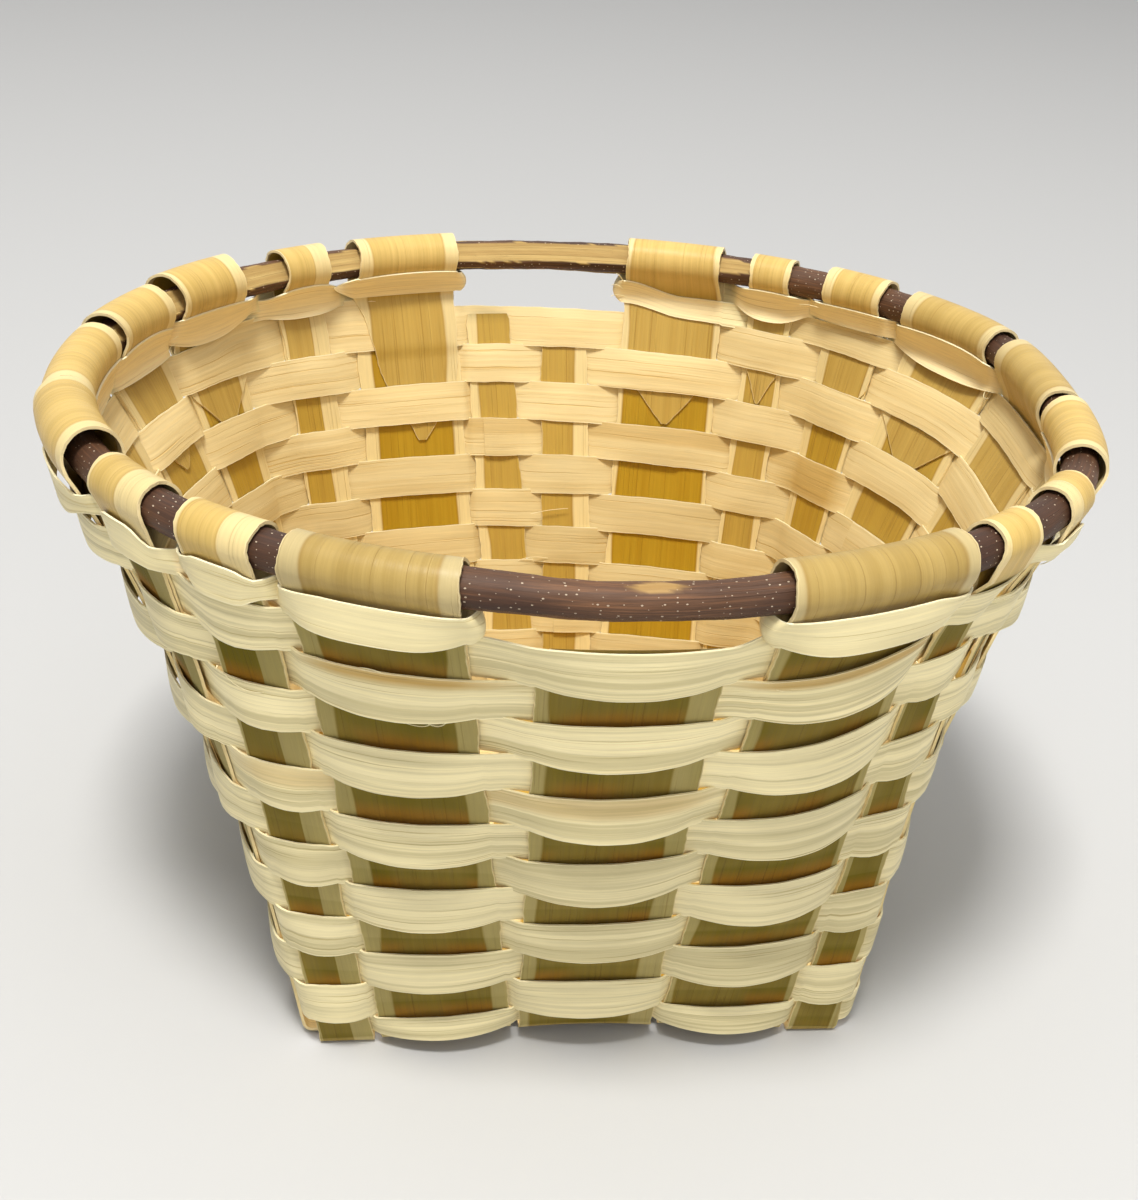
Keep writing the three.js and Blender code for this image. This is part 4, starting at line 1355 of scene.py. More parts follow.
    def _floor(self, u: np.ndarray, is_lengthwise: bool) -> np.ndarray:
        """Lay the rows of the base, over and under the crossed splints in turn.

        Args:
            u: Places across the splint, -1 to 1 clockwise at its start.
            is_lengthwise: Whether it runs from front to back.

        Returns:
            Points by row and column.
        """
        base, plan = self.wall.base, self.plan
        reach = (base.half_depth if is_lengthwise else base.half_width) - self.wall.fold_radius
        way = np.linspace(-reach, reach, int(2 * reach / self.row_step) + 1)[1:-1]
        first_upper = (self.lane + (0 if is_lengthwise else 1)) % 2
        turns = [(other.middle - other.width / 2 - base.gap / 2, float((first_upper + k) % 2))
                 for k, other in enumerate(self.crossed)]
        last = self.crossed[-1]
        turns.append((last.middle + last.width / 2 + base.gap / 2, float(STAKES[plan.finish[0]].upper)))
        before = float(STAKES[plan.start].upper)
        upper = np.full_like(way, before)
        for place, level in turns:
            upper += (level - before) * ease(way, place - self.crossing_half, place + self.crossing_half)
            before = level
        side = plan.middle + (-u if is_lengthwise else u)[None, :] * plan.width / 2
        if is_lengthwise:
            return base.point(np.broadcast_to(side, (len(way), len(u))), way[:, None], upper[:, None])
        return base.point(way[:, None], np.broadcast_to(side, (len(way), len(u))), upper[:, None])

    def _sheet(self, points: np.ndarray, share: np.ndarray, half: np.ndarray, shade_and_age: np.ndarray,
               shade: np.ndarray, begin: float) -> tuple[Sheet, float]:
        """Dress rows of points as a strip of wood.

        Args:
            points: Points by row and column.
            share: Place across the splint by row and column, -1 to 1.
            half: Half thickness by row.
            shade_and_age: How far each row's outer face is darkened, by painted shade and olive stain.
            shade: Lightness of each row.
            begin: Distance along the grain of the first row.

        Returns:
            The strip, and the distance along the grain of its last row.
        """
        middle = points[:, points.shape[1] // 2]
        steps = np.linalg.norm(np.diff(middle, axis=0), axis=1)
        along = begin + np.concatenate([[0.0], np.cumsum(steps)])
        across = share * self.plan.width / 2
        edge = np.minimum(share - share[:, :1], share[:, -1:] - share) * self.plan.width / 2
        stain_and_shade = np.repeat(shade_and_age[:, None], share.shape[1], axis=1)
        tone = np.broadcast_to((shade * (1 + 0.05 * self.cup.at(along)))[:, None], share.shape)
        return Sheet(points, half, along, across, share, edge, stain_and_shade, tone), along[-1]

    def build(self) -> bpy.types.Object:
        """Build the splint with its finish.

        Returns:
            The visible splint.
        """
        plan = self.plan
        is_lengthwise = "lengthwise" in plan.name
        columns = max(7, int(plan.width / self.column_step)) // 2 * 2 + 1
        u = np.linspace(-1, 1, columns)
        start = self._end_rows(plan.start, u, True, 0)
        floor = self._floor(u, is_lengthwise)
        each = np.ones(len(floor))
        # The base takes a share of the same olive darkening.
        rows = (floor, np.repeat(u[None, :], len(floor), axis=0), each * (self.wall.stake_sheet / 2),
                each * (self.floor_darkening * self.aged_and_shaded), each)
        mesh = SheetMesh(float(self.seed % 37))
        if len(plan.finish) == 1:
            end = self._end_rows(plan.finish[0], u, False, 50)
            whole = (np.concatenate([a, b, c[::-1]]) for a, b, c in zip(start, rows, end))
            mesh.add(self._sheet(*whole, 0.0)[0])
        else:
            sheet, reached = self._sheet(*(np.concatenate([a, b]) for a, b in zip(start, rows)), 0.0)
            mesh.add(sheet)
            # Seen from its start the splint's lower share goes to the right leg at the back.
            for number, (low, high) in zip(reversed(plan.finish), ((-1.0, 0.0), (0.0, 1.0))):
                part = u[(u >= low) & (u <= high)]
                own = (part - (low + high) / 2) * 2
                leg, placed, leg_half, leg_shade_and_age, leg_shade = self._end_rows(number, own, False, 50)
                placed = placed / 2 + (low + high) / 2
                joined = np.concatenate([floor[-1:, (u >= low) & (u <= high)], leg[::-1]])
                leg_share = np.concatenate([part[None, :], placed[::-1]])
                values = [np.concatenate([row[-1:], row[::-1]]) for row in (leg_half, leg_shade_and_age, leg_shade)]
                mesh.add(self._sheet(joined, leg_share, *values, reached)[0])
        material = self.finish.material(self.groups, plan.sap, plan.pale, "_" + plan.name)
        return carried(mesh.build(plan.name.replace("splint", "stakes"), material), plan.name)


@dataclass
class Band:
    """Strip woven in and out of the stakes, laid out section by section."""

    wall: Wall
    columns: int = 9
    sections: list[tuple[np.ndarray, np.ndarray, float]] = field(default_factory=list)

    def put(self, points: np.ndarray, stain_and_shade: np.ndarray, tone: float = 1.0) -> None:
        """Add one section of points and their stains, from the upper edge to the lower."""
        self.sections.append((points, stain_and_shade, tone))

    def sheet(self, width: float, begin: float) -> Sheet:
        """Return the strip, its columns from the lower edge up, so that its outer face looks out.

        Args:
            width: Width of the strip.
            begin: Distance along the grain of the first section.

        Returns:
            The strip with one row for each section.
        """
        points, stains, tones = (np.array(values) for values in zip(*self.sections))
        middle = points[:, self.columns // 2]
        along = begin + np.concatenate([[0.0], np.cumsum(np.linalg.norm(np.diff(middle, axis=0), axis=1))])
        share = np.broadcast_to(np.linspace(1, -1, self.columns), points.shape[:2])
        half = np.full(len(points), self.wall.weaver_sheet / 2)
        edge = (1 - np.abs(share)) * width / 2
        tone = np.broadcast_to(tones[:, None], share.shape)
        return Sheet(points[:, ::-1], half, along, share * width / 2, share, edge, stains[:, ::-1], tone)


@dataclass
class Weavers:
    """The weavers, laid end to end in one spiral from the first row down to the base."""

    wall: Wall
    finish: WoodFinish
    groups: WoodGroups
    first: int = FIRST_CROSSING
    count: int = 9
    columns: int = 9
    step: float = 4.0
    gap_step: float = 3.0
    bulge_top: float = 0.03
    bulge_bottom: float = 0.115
    inner_bow: float = -0.012
    swell: float = 0.7
    lap: float = 1.1
    raised_to: float = 24.0
    raised: tuple[float, float] = (27.9, 30.1)
    splice_half: float = 0.55
    dark_foot: float = 0.13
    mottling: float = 0.07
    cup: float = 0.8

    def __post_init__(self) -> None:
        """Find the last crossing and seed the bands' unevenness."""
        def has_room(crossing: int) -> bool:
            """Return whether the spiral still has half a band's room above the fold."""
            stake = STAKES[crossing % len(STAKES)]
            return float(self.wall.row_middle(crossing)) < self.wall.foot_depth(stake)

        last = self.first + 1
        while has_room(last + 1) and has_room(last + 2):
            last += 2
        self.last = last
        self.drift = Ripple(31, ((0.35, 11.3), (0.25, 5.7), (0.15, 2.9)))
        self.upper = Ripple(32, ((0.3, 7.9), (0.25, 3.3), (0.15, 0.71), (0.1, 0.23)))
        self.lower = Ripple(33, ((0.3, 8.3), (0.25, 2.7), (0.15, 0.67), (0.1, 0.19)))
        self.bow = np.random.default_rng(34).uniform(0.8, 1.15, self.last + 3)
        self.shade = np.random.default_rng(35).uniform(-1, 1, self.last + 3)

    def splice(self, number: int) -> int:
        """Return the crossing behind which a weaver is spliced to the one above it."""
        crossing = 2 * int(math.floor(mix(self.first, self.last, number / self.count) / 2 + 0.5))
        return crossing if number else self.first

    def edges(self, place: float, limit: float) -> tuple[float, float]:
        """Return both edges of the band at a place of the spiral.

        Args:
            place: Place of the spiral, counted in stakes passed.
            limit: Depth below which the band may not reach.

        Returns:
            Depths of the upper and the lower edge.
        """
        wall = self.wall
        middle = float(wall.row_middle(place)) + float(self.drift.at(place)) * float(ease(place, 22, 30))
        top = middle - wall.weaver_width / 2 + float(self.upper.at(place))
        # At the back left the row is raised to its neighbour, and no daylight shows between them.
        begin, end = self.raised
        closing = float(ease(place, begin, begin + 0.5) * (1 - ease(place, end - 0.5, end)))
        top = mix(top, min(top, self.raised_to), closing)
        bottom = middle + wall.weaver_width / 2 + float(self.lower.at(place))
        return max(top, HIGHEST_ROW), min(bottom, limit)

    def _stain(self, place: float, share: np.ndarray) -> np.ndarray:
        """Return the stain across a section of the spiral.

        Args:
            place: Place of the spiral.
            share: Places across the band, 0 at its upper edge.

        Returns:
            Stain of each place, 0 to 1.
        """
        stain_and_shade = np.zeros_like(share)
        for start, end, low, high, strength in BAND_STAINS:
            inside = float(ease(place, start - 0.25, start + 0.1) * (1 - ease(place, end - 0.1, end + 0.25)))
            if inside:
                across = (1 - ease(share, high - 0.06, high + 0.06)) * ease(share, low - 0.06, low + 0.02)
                stain_and_shade = np.maximum(stain_and_shade, strength * inside * across)
        return stain_and_shade

    @staticmethod
    def _over_tail(crossing: int, top: float) -> bool:
        """Return whether a band lies over a stake's tail rather than between it and the stake."""
        stake = STAKES[crossing % len(STAKES)]
        return stake.tail is not None and stake.tail > top - 2 and stake.over_row != crossing // len(STAKES)

    def over_stake(self, band: Band, crossing: int, v: float, lift: float) -> None:
        """Add the section of a band at a place across a stake.

        Args:
            band: The strip laid out so far.
            crossing: Number of the crossing.
            v: Place across the stake, -1 to 1.
            lift: How far the band is drawn in under the one before it.
        """
        wall, stake = self.wall, STAKES[crossing % len(STAKES)]
        place = crossing + HALF_STAKE * v
        outside = crossing % 2 == 1
        top, bottom = self.edges(place, wall.foot_depth(stake))
        if not outside:
            bottom = min(bottom + self.lap, wall.foot_depth(stake))
        else:
            swell = self.swell * (1 - v * v)
            top = max(top - 0.2 * swell, HIGHEST_ROW)
            bottom = min(bottom + 0.8 * swell, wall.foot_depth(stake))
        share = np.linspace(0, 1, self.columns)
        width = mix(stake.width, 2 * stake.base_half, top / stake.length)
        crown = width * (1 - v * v)
        rate = self._bow(crossing, share)
        fall = (rate[-1] - rate[0]) * crown
        height = math.sqrt(max((bottom - top) ** 2 - fall ** 2, 25.0))
        depth = top + height * share
        offset = wall.layer(stake, outside, depth, self._over_tail(crossing, top)) + rate * crown - lift
        cup = self.cup if outside else -self.cup
        offset = offset + cup * 4 * share * (1 - share) * (1 - v ** 4)
        band.put(wall.on_stake(stake, v, depth, offset), self._stain(place, share), self._tone(place))

    def _bow(self, crossing: int, share: np.ndarray) -> np.ndarray:
        """Return how strongly a band bows away from the stake it passes, from upper to lower edge."""
        outer = mix(self.bulge_top, self.bulge_bottom, share ** 1.15)
        return (outer if crossing % 2 == 1 else np.full_like(share, self.inner_bow)) * self.bow[crossing]

    def _tone(self, place: float) -> float:
        """Return the lightness of the band at a place of the spiral."""
        lower = 1 - self.dark_foot * float(ease(place, 50, 150))
        return lower * (1 + self.mottling * float(np.interp(place, np.arange(len(self.shade)), self.shade)))

    def over_gap(self, band: Band, crossing: int, g: float, gap: float) -> None:
        """Add the section of a band between a stake and the next.

        Args:
            band: The strip laid out so far.
            crossing: Number of the crossing before the gap.
            g: Position in the gap, 0 to 1.
            gap: Length of the gap.
        """
        wall = self.wall
        stake, other = STAKES[crossing % len(STAKES)], STAKES[(crossing + 1) % len(STAKES)]
        place = crossing + HALF_STAKE + GAP_STEP * g
        limit = mix(wall.foot_depth(stake), wall.foot_depth(other), g)
        top, bottom = self.edges(place, limit)
        bottom = min(bottom + self.lap, limit)
        share = np.linspace(0, 1, self.columns)
        depth = mix(top, bottom, share)
        layers = []
        for number, where in ((crossing, stake), (crossing + 1, other)):
            layers.append(wall.layer(where, number % 2 == 1, depth, self._over_tail(number, top)))
        slope_in = -4 * self._bow(crossing, share) * gap
        slope_out = 4 * self._bow(crossing + 1, share) * gap
        offset = hermite(layers[0], slope_in, layers[1], slope_out, g)
        points = wall.in_gap(stake, 1.0, other, np.full(self.columns, g), depth, offset)
        band.put(points, self._stain(place, share), self._tone(place))

    def build(self) -> list[bpy.types.Object]:
        """Build every weaver with its finish.

        Returns:
            The visible weavers.
        """
        material = self.finish.material(self.groups, (0.0, 0.0))
        pieces = []
        for number in range(self.count):
            begin, end = self.splice(number), self.splice(number + 1)
            band = Band(self.wall, self.columns)
            for crossing in range(begin, end + 1):
                stake = STAKES[crossing % len(STAKES)]
                low = -self.splice_half if crossing == begin and number else -1.0
                high = self.splice_half if crossing == end else 1.0
                lift = self.wall.weaver_sheet + 0.3 if crossing == begin and number else 0.0
                samples = max(4, int(stake.width * (high - low) / 2 / self.step))
                for v in np.linspace(low, high, samples):
                    fade = lift * float(1 - ease(v, 0.3, 1.0))
                    self.over_stake(band, crossing, float(v), fade)
                if crossing < end:
                    other = STAKES[(crossing + 1) % len(STAKES)]
                    gap = self.wall.gap_length(stake, other, 1.0, float(self.wall.row_middle(crossing)))
                    inner = max(3, int(gap / self.gap_step))
                    for g in np.linspace(0, 1, inner + 2)[1:-1]:
                        self.over_gap(band, crossing, float(g), gap)
            mesh = SheetMesh(3.0 + 5.3 * number)
            mesh.add(band.sheet(self.wall.weaver_width, 0.0))
            if number == 0:
                for strand in STRANDS:
                    mesh.add(strand.sheet(self.wall))
            made = mesh.build(f"weaver_band_{number + 1}", material)
            pieces.append(carried(made, f"weaver_{number + 1}"))
        return pieces


@dataclass(frozen=True)
class Strand:
    """Loose fibre beside a stake, through three places across it, down it and out of the wall's layer."""

    stake: int
    outside: bool
    places: tuple[tuple[float, float, float], tuple[float, float, float], tuple[float, float, float]]
    width: float = 0.45
    half_thickness: float = 0.12
    rows: int = 12

    def sheet(self, wall: Wall) -> Sheet:
        """Return the fibre as a thin strip, tapered to both ends.

        Args:
            wall: The wall it lies on.

        Returns:
            The strip.
        """
        stake = STAKES[self.stake]
        v, depth, off = (np.array(part) for part in zip(*self.places))
        offset = wall.layer(stake, self.outside, depth, True) + off
        first, through, last = wall.on_stake(stake, v, depth, offset)
        pull = 2 * through - (first + last) / 2
        share = np.linspace(0, 1, self.rows)[:, None]
        line = (1 - share) ** 2 * first + 2 * share * (1 - share) * pull + share ** 2 * last
        side = unit(np.cross(np.gradient(line, axis=0), wall.hoop.point(0.0) * [0, 0, 1] + line * [1, 1, 0]))
        taper = self.width / 2 * (1 - 0.8 * np.abs(2 * share - 1) ** 3)
        across = np.array([-1.0, 0.0, 1.0])[None, :, None]
        points = line[:, None, :] + side[:, None, :] * taper[:, :, None] * across
        flat = np.zeros((self.rows, 3))
        along = np.concatenate([[0.0], np.cumsum(np.linalg.norm(np.diff(line, axis=0), axis=1))])
        return Sheet(points, np.full(self.rows, self.half_thickness), along, flat + [-0.2, 0.0, 0.2],
                     flat + [-0.9, 0.0, 0.9], flat, flat, flat + 1.05)


STRANDS = (
    Strand(1, True, ((-0.70, 71.0, 0.6), (-0.55, 75.2, 3.0), (-0.30, 72.0, 1.5))),
    Strand(1, True, ((-0.52, 71.5, 0.6), (-0.42, 76.5, 2.4), (-0.18, 75.5, 3.4)), 0.35),
    Strand(1, True, ((-0.28, 71.5, 0.6), (-0.14, 73.6, 2.2), (0.04, 72.6, 1.0)), 0.35),
    Strand(1, True, ((0.30, 47.0, 0.8), (0.12, 45.4, 2.0), (-0.05, 46.6, 2.6)), 0.4),
    Strand(0, True, ((0.62, 96.0, 0.8), (0.44, 98.5, 2.2), (0.28, 97.2, 2.8)), 0.4),
    Strand(2, True, ((0.9, 73.0, 0.6), (0.3, 76.5, 2.4), (-0.3, 75.0, 2.2)), 0.4),
    Strand(20, True, ((0.55, 47.5, 0.6), (0.70, 50.5, 2.5), (0.9, 49.0, 2.0)), 0.4),
    Strand(19, True, ((-0.4, 34.0, 0.6), (-1.1, 36.5, 3.2), (-1.9, 35.0, 4.4)), 0.5),
    Strand(18, True, ((0.2, 30.0, 0.6), (-0.9, 33.5, 3.0), (-1.6, 30.5, 5.0)), 0.5),
    Strand(11, False, ((-1.5, 170.5, -2.4), (-0.8, 168.0, -2.8), (0.1, 166.6, -2.2)), 0.7),
    Strand(10, False, ((0.6, 203.0, -1.2), (1.2, 200.5, -2.6), (1.9, 201.6, -1.6)), 0.6),
    Strand(12, False, ((-1.02, 16.0, -0.4), (-1.14, 11.0, -1.0), (-1.22, 9.5, -1.6)), 0.6),
    Strand(12, False, ((-1.04, 20.0, -0.4), (-1.2, 17.0, -1.4), (-1.3, 17.6, -1.0)), 0.5),
    Strand(12, False, ((-0.95, 25.0, -0.4), (-1.16, 23.6, -1.4), (-1.3, 25.0, -1.6)), 0.5),
    Strand(13, False, ((1.5, 14.0, -1.5), (2.0, 12.0, -2.6), (2.7, 12.5, -1.8)), 0.5),
    Strand(15, False, ((0.98, 24.0, -1.0), (1.08, 28.0, -2.5), (1.2, 27.0, -2.0)), 0.5),
    Strand(7, False, ((-1.05, 19.0, -1.0), (-1.25, 17.5, -2.2), (-1.4, 19.0, -1.6)), 0.5),
    Strand(6, False, ((1.05, 25.0, -1.0), (1.2, 22.0, -2.2), (1.35, 22.6, -2.6)), 0.5),
)

# Stained stretches of the spiral: from crossing, to crossing, from share, to share, strength.
BAND_STAINS = (
    (40.6, 41.4, 0.0, 0.2, 1.0),
    (42.6, 43.3, 0.0, 0.22, 1.0),
    (93.5, 97.6, 0.0, 0.42, 0.6),
    (97.6, 98.4, 0.0, 1.0, 0.9),
    (104.6, 107.4, 0.0, 0.45, 0.5),
)


@dataclass
class Binder:
    """Strip that closes the weave under the rod, narrowed where it passes between two stakes."""

    wall: Wall
    finish: WoodFinish
    groups: WoodGroups
    columns: int = 9
    outer_crown: tuple[float, float] = (5.5, 23.6)
    flat_crown: tuple[float, float] = (8.6, 22.6)
    inner_crown: tuple[float, float] = (9.0, 29.5)
    row_room: float = 0.6
    short_crown: tuple[float, float] = (5.5, 20.5)
    into_row: tuple[float, float] = (14.0, 28.5)
    bulge_top: float = 0.03
    bulge_bottom: float = 0.11
    lean: float = 4.0
    neck: float = 10.0
    step: float = 3.5
    gap_step: float = 3.0
    turn_reach: float = 8.0
    row_depth: float = 24.0
    width: float = 16.0
    length: float = 350.0
    band: Band = field(init=False)

    def _start_band(self) -> Band:
        """Start a strip, to which the next sections are added."""
        self.band = Band(self.wall, self.columns)
        return self.band

    def _depths(self, start: tuple[float, float], end: tuple[float, float], share: float) -> np.ndarray:
        """Return depths across the strip, its edges a share of the way from start to end."""
        top, bottom = mix(start[0], end[0], share), mix(start[1], end[1], share)
        return mix(top, bottom, np.linspace(0, 1, self.columns))

    def _crown(self, number: int, outside: bool) -> tuple[float, float]:
        """Return both edges where the binder is widest over a stake.

        Args:
            number: The stake.
            outside: Whether it passes the stake outside.

        Returns:
            Depths of the upper and the lower edge.
        """
        if outside:
            return self.outer_crown
        crossing = number if number >= FIRST_CROSSING else number + len(STAKES)
        if crossing % 2 == 1:
            return self.inner_crown
        top = float(self.wall.row_middle(crossing)) - self.wall.weaver_width / 2
        return self.inner_crown[0], min(self.inner_crown[1], max(top, HIGHEST_ROW) - self.row_room)

    def _open(self, number: int, beyond: np.ndarray) -> np.ndarray:
        """Return how far an inside pass has widened at a distance from the stake's middle."""
        half = STAKES[number].width / 2 + self.neck
        return 1 - np.minimum(np.abs(beyond) / half, 1) ** 2.4

    def _pass(self, number: int, direction: int, outside: bool, lanes: tuple[Lane, Lane],
              crown: tuple[float, float], lean: float = 0.0, ends: tuple[float, float] = (-1.0, 1.0)) -> None:
        """Add the sections over one stake, from the side at which the binder enters it.

        Args:
            number: The stake.
            direction: 1 for clockwise, -1 for the other way round.
            outside: Whether it passes the stake outside.
            lanes: Lanes on entering and on leaving.
            crown: Depths of both edges in the middle of the stake.
            lean: How far its lower edge leans into the basket.
            ends: Places across the stake of the first and the last section.
        """
        stake = STAKES[number]
        samples = max(5, int(stake.width * (ends[1] - ends[0]) / 2 / self.step))
        share = np.linspace(0, 1, self.columns)
        for w in np.linspace(*ends, samples):
            lane = (lanes[0] if w < 0 else lanes[1]).value
            narrowed = (float(ease(abs(w), 0.45, 1.0)) if outside
                        else 1 - float(self._open(number, w * stake.width / 2)))
            depth = self._depths(crown, lane, narrowed)
            width = stake.width * max(0.0, 1 - abs(w) ** 3.5) if outside else 0.0
            rate = mix(self.bulge_top, self.bulge_bottom, share)
            inward = lean * share ** 1.5 * (1 - narrowed)
            offset = self.wall.layer(stake, outside, depth, not outside) + rate * width - inward
            self.band.put(self.wall.on_stake(stake, direction * w, depth, offset), self._warmth(outside))

    def _warmth(self, outside: bool) -> np.ndarray:
        """Return the stain of a section, which is warmer where it faces into the basket."""
        return np.full(self.columns, 0.0 if outside else 1.0)

    def _cross(self, number: int, direction: int, outside: bool, lane: Lane, after: Lane) -> None:
        """Add the sections between a stake and the next on the binder's way.

        Args:
            number: The stake that it leaves.
            direction: 1 for clockwise, -1 for the other way round.
            outside: Whether it leaves the stake on the outside.
            lane: Lane on leaving it.
            after: Lane on reaching the next stake.
        """
        stake, other = STAKES[number], STAKES[(number + direction) % len(STAKES)]
        share = np.linspace(0, 1, self.columns)
        gap = self.wall.gap_length(stake, other, float(direction), lane.value[0])
        rate = mix(self.bulge_top, self.bulge_bottom, share)
        slope_in = -4 * rate * gap if outside else 0 * rate
        slope_out = 0 * rate if outside else 4 * rate * gap
        for g in np.linspace(0, 1, max(3, int(gap / self.gap_step)) + 2)[1:-1]:
            turned = float(ease(g, 0.3, 1.0))
            near, away = (other, 1 - g) if outside else (stake, g)
            opened = float(self._open(near.number, near.width / 2 + away * gap))
            edges = tuple(mix(old, new, turned) for old, new in zip(lane.value, after.value))
            depth = self._depths(edges, self._crown(near.number, False), opened)
            start = self.wall.layer(stake, outside, depth, not outside)
            end = self.wall.layer(other, not outside, depth, outside)
            offset = hermite(start, slope_in, end, slope_out, g) - self.lean * share ** 1.5 * opened
            points = self.wall.in_gap(stake, float(direction), other, np.full(self.columns, g), depth, offset)
            self.band.put(points, self._warmth(outside == (g < 0.5)))

    def _turn(self, number: int, side: int, from_outside: bool,
              inner: tuple[float, float] = Lane.WHOLE.value) -> None:
        """Add the binder's turn round one edge of a stake, from one face to the other.

        Args:
            number: The stake.
            side: Edge that it turns round, 1 or -1.
            from_outside: Whether it comes from the outer face.
            inner: Depths of both edges on the inner face.
        """
        stake = STAKES[number]
        share = np.linspace(0, 1, self.columns)
        for angle in np.linspace(0, math.pi, 13)[1:-1]:
            turned = (1 - math.cos(angle)) / 2
            inside = turned if from_outside else 1 - turned
            top = mix(Lane.TURN.value[0], inner[0], min(1.0, 2 * inside))
            depth = mix(top, mix(Lane.TURN.value[1], inner[1], inside), share)
            outer = self.wall.layer(stake, True, depth, False)
            within = self.wall.layer(stake, False, depth, True)
            # The strip turns tighter at its edges than in its middle.
            rounded = 0.25 + 0.75 * np.sqrt(1 - (1.84 * share - 0.92) ** 2)
            across = side * (1 + rounded * self.turn_reach * math.sin(angle) / (stake.width / 2))
            points = self.wall.on_stake(stake, across, depth, mix(outer, within, inside))
            self.band.put(points, self._warmth(inside < 0.5))

    def _tip(self, number: int, places: tuple[float, float], tip: float, edges: tuple[float, float]) -> None:
        """Add a cut end that starts in a point beside a stake, inside it.

        Args:
            number: The stake.
            places: Places across the stake of the first and the last section.
            tip: Depth of the point.
            edges: Depths of both edges at the wide end.
        """
        stake = STAKES[number]
        for w in np.linspace(*places, 8):
            spread = abs((w - places[0]) / (places[1] - places[0]))
            opened = 0.04 + 0.96 * spread ** 0.8
            depth = self._depths((tip, tip), edges, opened)
            offset = self.wall.layer(stake, False, depth, True)
            offset = mix(float(offset.mean()), offset, spread)
            self.band.put(self.wall.on_stake(stake, w, depth, offset), self._warmth(False))

    def _run(self, start: int, end: int, outside: bool, lane: Lane, first: Lane, last: Lane) -> None:
        """Add a pass from stake to stake, in and out in turn, in one lane between them.

        Args:
            start: First stake.
            end: Last stake.
            outside: Whether it passes the first stake outside.
            lane: Lane between the stakes.
            first: Lane on entering the first stake.
            last: Lane on leaving the last stake.
        """
        direction = 1 if end > start else -1
        for number in range(start, end + direction, direction):
            facing = outside if (number - start) % 2 == 0 else not outside
            before = first if number == start else Lane.BESIDE if number == end and facing else lane
            after = last if number == end else lane
            lean = 0.0 if facing else self.lean
            self._pass(number, direction, facing, (before, after), self._crown(number, facing), lean)
            if number != end:
                beside = number + direction == end and not facing
                self._cross(number, direction, facing, lane, Lane.BESIDE if beside else lane)

    def build_left(self) -> bpy.types.Object:
        """Build the binder that goes round the left side and comes back, crossing itself.

        Returns:
            The visible binder.
        """
        band = self._start_band()
        self._tip(9, (-1.5, -1.04), 13.5, (8.9, 22.0))
        self._pass(9, 1, False, (Lane.WHOLE, Lane.WHOLE), self.flat_crown)
        self._turn(9, 1, False)
        self._run(9, 1, True, Lane.LOW, Lane.TURN, Lane.TURN)
        self._turn(1, -1, True)
        self._run(1, 8, False, Lane.HIGH, Lane.WHOLE, Lane.HIGH)
        return self._finished([band], "binder_left", 1.7)

    def _into_row(self, weavers: Weavers) -> None:
        """Let the binder sink into the first row inside stake 12 and end outside the next one.

        Args:
            weavers: The weavers, whose first row it joins.
        """
        row = replace(weavers, columns=self.columns)
        stake = STAKES[12]
        for v in np.linspace(-1, 1, 16):
            edges = row.edges(12 + HALF_STAKE * v, self.wall.foot_depth(stake))
            sunk = float(ease(v, -1.0, 0.2))
            depth = self._depths(self.into_row, edges, sunk)
            offset = self.wall.layer(stake, False, depth, True)
            self.band.put(self.wall.on_stake(stake, v, depth, offset), self._warmth(False))
        gap = self.wall.gap_length(stake, STAKES[13], 1.0, self.row_depth)
        for g in np.linspace(0, 1, 10)[1:-1]:
            row.over_gap(self.band, 12, float(g), gap)
        for v in np.linspace(-1, -0.1, 5):
            row.over_stake(self.band, 13, float(v), -1.3)

    def build_right(self, weavers: Weavers) -> bpy.types.Object:
        """Build the binder that goes round the right side and turns down into the first row.

        Args:
            weavers: The weavers, whose first row it joins.

        Returns:
            The visible binder.
        """
        band = self._start_band()
        self._pass(20, 1, False, (Lane.WHOLE, Lane.WHOLE), self.flat_crown, ends=(-0.4, 1.0))
        self._turn(20, 1, False)
        self._run(20, 12, True, Lane.WHOLE, Lane.TURN, Lane.TURN)
        self._turn(12, -1, True, self.into_row)
        self._into_row(weavers)
        lap = self._start_band()
        self._pass(13, 1, True, (Lane.HIGH, Lane.HIGH), self.short_crown, ends=(-0.5, 1.0))
        self._cross(13, 1, True, Lane.HIGH, Lane.HIGH)
        self._pass(14, 1, False, (Lane.HIGH, Lane.HIGH), self._crown(14, False), self.lean)
        self._cross(14, 1, False, Lane.HIGH, Lane.HIGH)
        self._pass(15, 1, True, (Lane.HIGH, Lane.HIGH), self.short_crown, ends=(-1.0, 0.5))
        return self._finished([band, lap], "binder_right", 4.1)

    def _finished(self, bands: Sequence[Band], node: str, seed: float) -> bpy.types.Object:
        """Turn the laid out strips into a piece.

        Args:
            bands: The strips.
            node: Name of the CAD part.
            seed: Number that shifts the grain.

        Returns:
            The visible binder.
        """
        mesh = SheetMesh(seed)
        for number, band in enumerate(bands):
            mesh.add(band.sheet(self.width, self.length * number))
        material = self.finish.material(self.groups, (0.0, 0.0), 0.0, "_" + node)
        return carried(mesh.build(node + "_band", material), node)


